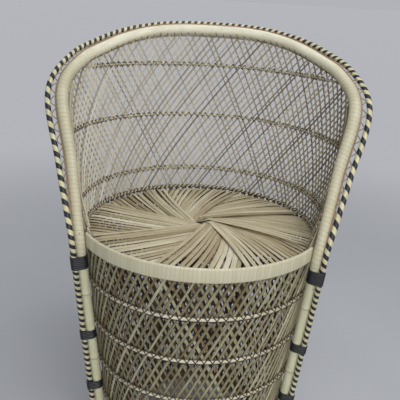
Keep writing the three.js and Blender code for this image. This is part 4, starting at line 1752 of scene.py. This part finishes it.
@dataclass
class EdgeReeds:
    """Upright reeds bundled along the inside of each post, and one reed under the whole rim."""

    shell: ChairShell
    pole: PoleLine
    radius: float = 1.7 * MM
    sides: int = 7
    step: float = 8 * MM
    seat_rise: float = 6 * MM
    shoulder_drop: float = 12 * MM
    rim_inset: float = 11.5 * MM
    rim_tone: float = 0.6
    post_inset: float = 12.5 * MM
    post_pitch: float = 4.1 * MM
    post_tones: tuple[float, ...] = (0.85, 0.62, 0.9, 0.7)
    right_shade: float = 0.55
    stagger: float = 0.012

    def build(self) -> None:
        """Builds the reeds as one piece."""
        draft = MeshDraft()
        start = self.pole.share_at(self.shell.seat_height + self.seat_rise)
        tip = self.pole.share_at(self.shell.shoulder_height - self.shoulder_drop)
        self.lay_reed(draft, self.rim_inset, Layer.OUTER, self.rim_tone, (start, 1 - start))
        for k, tone in enumerate(self.post_tones):
            inset, end = self.post_inset + self.post_pitch * k, tip - self.stagger * k
            self.lay_reed(draft, inset, Layer.INNER, tone, (1 - start, 1 - end))
            self.lay_reed(draft, inset, Layer.INNER, tone * self.right_shade, (start, end))
        dress(draft.piece("back_edge_reeds"), StickReed(), Slot.WEAVE)

    def lay_reed(self, draft: MeshDraft, inset: float, side: Layer, tone: float, ends: Pair) -> None:
        """Adds one reed that follows the pole.

        Args:
            draft: Mesh that takes it.
            inset: Its distance from the pole's centre line.
            side: Side of the weave that it lies on.
            tone: Its tone.
            ends: Shares of the pole's length at its two ends.
        """
        path, outward = [], []
        offset = side.value * (self.shell.stick_face() + self.radius)
        for share in self.pole.shares(*ends, self.step):
            edge = self.pole.at(share) + self.pole.inward(share) * inset
            angle = self.shell.angle_of(edge)
            path.append(self.shell.point(angle, edge.z, offset))
            outward.append(self.shell.normal(angle, edge.z))
        draft.rod(path, outward, self.radius, self.sides, tone)


@dataclass
class FrontRail:
    """Flat wrapped band across the front of the seat."""

    shell: ChairShell
    inside: float = 208.3 * MM
    wall: float = 5.6 * MM
    height: float = 24 * MM
    end_angle: float = -31.0
    round: float = 2.6 * MM
    steps: int = 120
    corner_steps: int = 4
    tone: float = 0.75
    finish: WrappedPeel = WrappedPeel("Rail peel wrapping", pitch=6.4 * MM, seam_depth=0.45, turn_depth=1.0,
                                      nick_share=0.02)

    def build(self) -> None:
        """Builds the band from post to post."""
        draft = MeshDraft()
        middle = self.shell.seat_height - self.height / 2
        first, last = math.radians(self.end_angle), math.radians(-180 - self.end_angle)
        angles = [lerp(first, last, i / self.steps) for i in range(self.steps + 1)]
        path = [self.shell.polar(self.inside + self.wall / 2, angle, middle) for angle in angles]
        outward = [self.shell.radial(p) for p in path]
        draft.sweep(path, outward, self.section(), [self.tone])
        dress(draft.piece("wrapped_front_rail"), self.finish, Slot.POLE, "front_rail_wrap")

    def section(self) -> list[Pair]:
        """Upright section with rounded corners.

        Returns:
            Its outline, as distances across and outward.
        """
        half, deep = self.height / 2 - self.round, self.wall / 2 - self.round
        corners = ((half, deep, 0.0), (-half, deep, 0.5), (-half, -deep, 1.0), (half, -deep, 1.5))
        points = []
        for x, y, turn in corners:
            for k in range(self.corner_steps + 1):
                angle = math.pi * (turn + 0.5 * k / self.corner_steps)
                points.append((x + self.round * math.cos(angle), y + self.round * math.sin(angle)))
        return points


@dataclass
class PinwheelSeat:
    """Seat of eight fans of flat splints that close up round a small hole."""

    shell: ChairShell
    fans: int = 8
    splints: int = 13
    start_angle: float = 203.0
    radius: float = 199.9 * MM
    level: float = 432 * MM
    inner_reach: float = 14 * MM
    outer_reach: float = 72 * MM
    reach_stray: float = 0.8 * MM
    angle_stray: float = 0.006
    hub_gap: float = 9 * MM
    length_stray: float = 1.2 * MM
    width: float = 7.6 * MM
    width_range: Pair = (0.75, 1.15)
    thickness: float = 1.3 * MM
    lift_stray: float = 0.5 * MM
    lift_step: float = 0.05 * MM
    top_steps: int = 12
    rim_tilt: float = 1.2 * MM
    hub_tilt: float = 5.6 * MM
    rim_dip: float = 1.6 * MM
    dip_reach: float = 16 * MM
    arch: float = 1.0 * MM
    bow: float = 5 * MM
    under_steps: int = 6
    under_lead: float = 12 * MM
    under_drop: float = 9.5 * MM
    under_slope: float = 1.2 * MM
    under_gap: float = 22 * MM
    under_swell: float = 2.2
    roll_stray: float = 0.10
    tone: float = 0.62
    tone_spread: float = 0.17
    fan_tone_spread: float = 0.06
    tone_limits: Pair = (0.12, 1.0)
    seed: int = 3

    def build(self) -> None:
        """Builds the fans one after the other."""
        chance = random.Random(self.seed)
        for k in range(self.fans):
            self.build_fan(k, chance)

    def top_run(self, along: Vector, length: float, share: float, lift: float) -> list[Vector]:
        """Visible run of a splint, from the rim to the hub.

        Args:
            along: Its direction.
            length: Its length.
            share: Its place in the fan, from 0 to 1.
            lift: How far it lies above the seat's level.

        Returns:
            Points, counted from its end at the rim.
        """
        aside = along.cross(UP)
        path = []
        for i in range(self.top_steps + 1):
            run = length * i / self.top_steps
            swell = math.sin(math.pi * i / self.top_steps)
            tilt = (1 - 2 * share) * (self.rim_tilt + run / length * self.hub_tilt)
            dip = -self.rim_dip * (1 - smooth(run, 0.0, self.dip_reach))
            height = tilt + lift + dip + self.arch * swell
            path.append(along * run + aside * (self.bow * swell) + UP * height)
        return path

    def under_run(self, along: Vector, start: float, end: float, share: float) -> list[Vector]:
        """Hidden run of a splint under the next fans.

        Args:
            along: Its direction.
            start: Distance from the rim at which the splint has slid under.
            end: Distance from the rim at which it stops.
            share: Its place in the fan, from 0 to 1.

        Returns:
            Points, counted from its end at the rim.
        """
        depth = UP * (self.under_drop + share * self.under_slope)
        runs = [lerp(start, end, i / self.under_steps) for i in range(1, self.under_steps + 1)]
        return [along * run - depth for run in runs]

    def build_fan(self, index: int, chance: random.Random) -> None:
        """One fan: its splints spread at the rim and slide under the next fan at the hub.

        Args:
            index: Which fan.
            chance: Source of the small differences between splints.
        """
        draft = MeshDraft()
        spread = FULL_TURN / self.fans
        base = math.radians(self.start_angle) + index * spread
        fan_tone = chance.uniform(-self.fan_tone_spread, self.fan_tone_spread)
        scales = [1.0] * (self.top_steps + 1) + [self.under_swell] * self.under_steps
        for j in range(self.splints):
            share = j / (self.splints - 1)
            reach = lerp(self.inner_reach, self.outer_reach, share) + chance.gauss(0.0, self.reach_stray)
            slant = math.asin(reach / self.radius)
            start = base + (j + 0.5) / self.splints * spread + chance.gauss(0.0, self.angle_stray)
            heading = start + math.pi - slant
            along = Vector((math.cos(heading), math.sin(heading), 0))
            half_chord = self.radius * math.cos(slant)
            length = half_chord - self.hub_gap + chance.gauss(0.0, self.length_stray)
            width = self.width * chance.uniform(*self.width_range)
            lift = chance.uniform(0.0, self.lift_stray) + (self.splints - j) * self.lift_step
            steps = self.top_run(along, length, share, lift)
            steps += self.under_run(along, length + self.under_lead, 2 * half_chord - self.under_gap, share)
            rim = self.shell.polar(self.radius, start, self.level)
            path = [rim + step for step in steps]
            lean = UP + UP.cross(along) * chance.gauss(0.0, self.roll_stray)
            tone = clamp(chance.gauss(self.tone, self.tone_spread) + fan_tone, *self.tone_limits)
            section = Section.CROWNED_STRIP.sized(width, self.thickness)
            draft.sweep(path, [lean] * len(path), section, [tone], scales, own_grain(path, chance))
        name = f"seat_fan_{index + 1}"
        dress(draft.piece(f"{name}_splints"), SeatSplint(), Slot.SEAT, name)


@dataclass
class SeatEdging:
    """Twisted cord of a pale and a dark strand where seat and back meet."""

    shell: ChairShell
    radius: float = 199.0 * MM
    level: float = 436.8 * MM
    end_angle: float = -28.0
    twist: float = 9 * MM
    strand_radius: float = 1.5 * MM
    steps: int = 640
    sides: int = 6
    tone: float = 0.45

    def build(self) -> None:
        """Builds the two strands."""
        dress(self.strand("dark", math.pi), EdgingTwine(), Slot.DARK)
        dress(self.strand("pale", 0.0), HoopReed(), Slot.HOOP, "seat_edging")

    def strand(self, shade: str, phase: float) -> Piece:
        """One strand, wound round the cord's centre line.

        Args:
            shade: Its shade, for the name.
            phase: Turn at which it starts.

        Returns:
            The strand.
        """
        draft = MeshDraft()
        end = math.radians(self.end_angle)
        path, outward = [], []
        for i in range(self.steps + 1):
            angle = lerp(end, math.pi - end, i / self.steps)
            turn = FULL_TURN * angle * self.radius / self.twist + phase
            center = self.shell.polar(self.radius, angle, self.level)
            out = self.shell.radial(center) * math.cos(turn) + UP * math.sin(turn)
            path.append(center + out * self.strand_radius)
            outward.append(out)
        draft.rod(path, outward, self.strand_radius, self.sides, self.tone)
        return draft.piece(f"seat_edging_{shade}_strand")


@dataclass
class InnerFrame:
    """Hoops, rear legs and braces inside the drum."""

    shell: ChairShell
    hoops: tuple[tuple[str, float, float], ...] = (
        ("seat_hoop", 190.8 * MM, 421.5 * MM), ("floor_hoop", 146.1 * MM, 8.3 * MM))
    bars: tuple[tuple[str, Axis], ...] = (
        ("right_rear_leg", Axis.Z), ("left_rear_leg", Axis.Z),
        ("cross_brace", Axis.X), ("long_brace", Axis.Y))
    dowels: tuple[str, ...] = ("right_splice_dowel", "left_splice_dowel")
    hoop_radius: float = 9 * MM
    hoop_steps: int = 96
    hoop_sides: int = 18
    rear_radius: float = 8 * MM
    brace_radius: float = 7 * MM
    bar_sides: int = 20
    ease: float = 1.2 * MM
    ease_steps: int = 2
    floor_spare: float = 6 * MM

    def build(self) -> None:
        """Builds the hoops and bars, and gives the hidden dowels their finish."""
        for hoop in self.hoops:
            self.build_hoop(*hoop)
        for bar in self.bars:
            self.build_bar(*bar)
        for node in self.dowels:
            BarePole().cover(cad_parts[node])

    def build_hoop(self, node: str, radius: float, z: float) -> None:
        """Bent pole hoop, flattened where it stands.

        Args:
            node: Solid that it stands for.
            radius: Radius of its centre line.
            z: Height of its centre line.
        """
        bpy.ops.object.select_all(action="DESELECT")
        bpy.ops.mesh.primitive_torus_add(major_segments=self.hoop_steps, minor_segments=self.hoop_sides,
                                         major_radius=radius, minor_radius=self.hoop_radius,
                                         location=(0, self.shell.axis_y, z))
        hoop = self.settle(f"{node}_pole")
        self.cut_at_floor()
        bpy.ops.object.shade_smooth_by_angle(angle=SMOOTH_EDGE)
        dress(hoop, DustyPole(), Slot.POLE, node)

    def build_bar(self, node: str, axis: Axis) -> None:
        """Straight bar with eased ends, in the place of a solid; an upright one is cut level at the floor.

        Args:
            node: Solid that it stands for.
            axis: Axis that the bar mostly follows.
        """
        corners = [corner.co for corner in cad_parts[node].data.vertices]
        heights = [corner[axis.value] for corner in corners]
        low, high = min(heights), max(heights)
        quarter = (high - low) / 4
        first = self.middle([c for c, height in zip(corners, heights) if height < low + quarter])
        last = self.middle([c for c, height in zip(corners, heights) if height > high - quarter])
        upright = axis is Axis.Z
        radius = self.rear_radius if upright else self.brace_radius
        if upright:
            first -= (last - first).normalized() * self.floor_spare
        span = last - first
        bpy.ops.object.select_all(action="DESELECT")
        bpy.ops.mesh.primitive_cylinder_add(vertices=self.bar_sides, radius=radius, depth=span.length,
                                            location=(first + last) / 2,
                                            rotation=span.to_track_quat("Z", "Y").to_euler())
        bar = self.settle(f"{node}_pole")
        bpy.ops.object.modifier_add(type="BEVEL")
        bevel = bar.modifiers[-1]
        bevel.width = self.ease
        bevel.segments = self.ease_steps
        bpy.ops.object.modifier_apply(modifier=bevel.name)
        if upright:
            self.cut_at_floor()
        bpy.ops.object.shade_smooth_by_angle(angle=SMOOTH_EDGE)
        dress(bar, DustyPole(), Slot.POLE, node)

    @staticmethod
    def settle(name: str) -> Piece:
        """Names a new primitive and moves its place into its mesh.

        Args:
            name: Name of the piece.

        Returns:
            The piece.
        """
        piece = bpy.context.object
        piece.name = name
        select_only(piece)
        bpy.ops.object.transform_apply(location=True, rotation=True, scale=True)
        return piece

    @staticmethod
    def middle(points: Sequence[Vector]) -> Vector:
        """Mean of some points."""
        return sum(points, Vector()) / len(points)

    @staticmethod
    def cut_at_floor() -> None:
        """Cuts the active piece off level with the floor."""
        bpy.ops.object.mode_set(mode="EDIT")
        bpy.ops.mesh.select_all(action="SELECT")
        bpy.ops.mesh.bisect(plane_co=(0, 0, 0), plane_no=(0, 0, 1), use_fill=True, clear_inner=True)
        bpy.ops.object.mode_set(mode="OBJECT")


@dataclass(frozen=True)
class PaleFloor(Finish):
    """Plain pale studio floor, which fades into an even backdrop away from the chair."""

    title: str = "Studio floor"
    pale: Colour = (0.50, 0.51, 0.53, 1.0)
    deep: Colour = (0.45, 0.46, 0.48, 1.0)
    glow: Colour = (0.44, 0.45, 0.48, 1.0)
    black: Colour = (0.0, 0.0, 0.0, 1.0)
    glow_start: float = 0.9
    glow_full: float = 2.2
    mottle_scale: float = 3.0
    roughness: float = 0.9
    shine: float = 0.1

    def paint(self, graph: Graph, shader: Node) -> None:
        """Even pale grey, a little mottled, with an even backdrop that lights nothing.

        Args:
            graph: Nodes of the material.
            shader: Its shader.
        """
        spot = graph.add("ShaderNodeTexCoord").outputs["Object"]
        noise = graph.add("ShaderNodeTexNoise", {"Vector": spot, "Scale": self.mottle_scale, "Detail": 2.0})
        body = graph.mix(graph.span(noise.outputs["Fac"], 0.0, 1.0), self.pale, self.deep)
        away = graph.add("ShaderNodeVectorMath", {0: spot}, operation="LENGTH").outputs["Value"]
        far = graph.rise(away, self.glow_start, self.glow_full)
        graph.put(shader.inputs["Base Color"], graph.mix(far, body, self.black))
        graph.put(shader.inputs["Emission Strength"], graph.math("MULTIPLY", far, graph.seen()))
        shader.inputs["Emission Color"].default_value = self.glow
        shader.inputs["Roughness"].default_value = self.roughness
        shader.inputs["Specular IOR Level"].default_value = self.shine


@dataclass(frozen=True)
class Lamp:
    """Soft square lamp."""

    name: str
    spot: Place
    size: float
    power: float

    def build(self, target: Vector) -> None:
        """Sets the lamp up.

        Args:
            target: Point that it is aimed at.
        """
        light = bpy.data.lights.new(self.name, "AREA")
        light.size = self.size
        light.energy = self.power
        thing = bpy.data.objects.new(self.name, light)
        thing.location = self.spot
        thing.rotation_euler = (target - Vector(self.spot)).to_track_quat("-Z", "Y").to_euler()
        bpy.context.scene.collection.objects.link(thing)


@dataclass
class Studio:
    """Floor, lamps, world light and the camera at the photograph's angle."""

    shell: ChairShell
    pitch: float = 20.01
    roll: float = 3.35
    yaw: float = -0.88
    place: Place = (-0.0038, -0.9908, 0.8387)
    focal_pixels: float = 600.0
    image_pixels: float = 400.0
    sensor_width: float = 36.0
    clip_start: float = 0.01
    floor_size: float = 60.0
    lamps: tuple[Lamp, ...] = (Lamp("key_lamp", (0.8, -0.8, 2.4), 1.6, 26.0),
                               Lamp("front_lamp", (0.3, -2.2, 1.2), 1.4, 26.0),
                               Lamp("back_lamp", (-0.3, 1.6, 2.2), 1.4, 13.0))
    lamp_target: Place = (0, 0, 0.45)
    sky: Colour = (0.80, 0.84, 0.92, 1.0)
    sky_strength: float = 0.34

    def build(self) -> None:
        """Builds the whole studio."""
        self.build_camera()
        self.build_floor()
        for lamp in self.lamps:
            lamp.build(Vector(self.lamp_target))
        self.build_world()

    def build_camera(self) -> None:
        """Camera with its tilt and roll, turned about the chair."""
        pitch, roll = math.radians(self.pitch), math.radians(self.roll)
        forward = Vector((0, math.cos(pitch), -math.sin(pitch)))
        level, upward = Vector((1, 0, 0)), Vector((0, math.sin(pitch), math.cos(pitch)))
        right = level * math.cos(roll) + upward * math.sin(roll)
        top = upward * math.cos(roll) - level * math.sin(roll)
        turn = Matrix.Rotation(-math.radians(self.yaw), 3, "Z")
        basis = Matrix([turn @ right, turn @ top, turn @ -forward]).transposed().to_4x4()
        camera = bpy.data.cameras.new("photo_camera")
        camera.sensor_width = self.sensor_width
        camera.lens = self.sensor_width * self.focal_pixels / self.image_pixels
        camera.clip_start = self.clip_start
        thing = bpy.data.objects.new("photo_camera", camera)
        spot = turn @ Vector(self.place)
        thing.matrix_world = Matrix.Translation(spot + Vector((0, self.shell.axis_y, 0))) @ basis
        bpy.context.scene.collection.objects.link(thing)
        bpy.context.scene.camera = thing

    def build_floor(self) -> None:
        """Level floor under the chair."""
        bpy.ops.object.select_all(action="DESELECT")
        bpy.ops.mesh.primitive_plane_add(size=self.floor_size, location=(0, 0, 0))
        floor = bpy.context.object
        floor.name = "studio_floor"
        PaleFloor().cover(floor)

    def build_world(self) -> None:
        """Pale light from all round, and an even backdrop where the camera sees past the floor."""
        world = bpy.data.worlds.new("studio_world")
        world.use_nodes = True
        graph = Graph(world.node_tree)
        light = graph.add("ShaderNodeBackground", {"Color": self.sky, "Strength": self.sky_strength})
        sight = graph.add("ShaderNodeBackground", {"Color": PaleFloor.glow, "Strength": 1.0})
        both = graph.add("ShaderNodeMixShader", {0: graph.seen(), 1: light.outputs[0], 2: sight.outputs[0]})
        graph.add("ShaderNodeOutputWorld", {"Surface": both.outputs[0]})
        bpy.context.scene.world = world
        bpy.context.scene.view_settings.view_transform = "Standard"


def main() -> None:
    """Builds the chair piece by piece, then the studio."""
    logging.basicConfig(level=logging.INFO, format="%(name)s %(message)s")
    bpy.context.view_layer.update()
    low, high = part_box("floor_hoop")
    shell = ChairShell(axis_y=(low.y + high.y) / 2)
    pole = PoleLine(shell)
    Studio(shell).build()
    for part in (InnerFrame(shell), StickWeave(shell, pole), EdgeReeds(shell, pole), FrontRail(shell),
                 PinwheelSeat(shell), SeatEdging(shell), PoleFrame(pole), LegBindings(pole)):
        LOG.info("building %s", type(part).__name__)
        part.build()


if __name__ == "__main__":
    main()
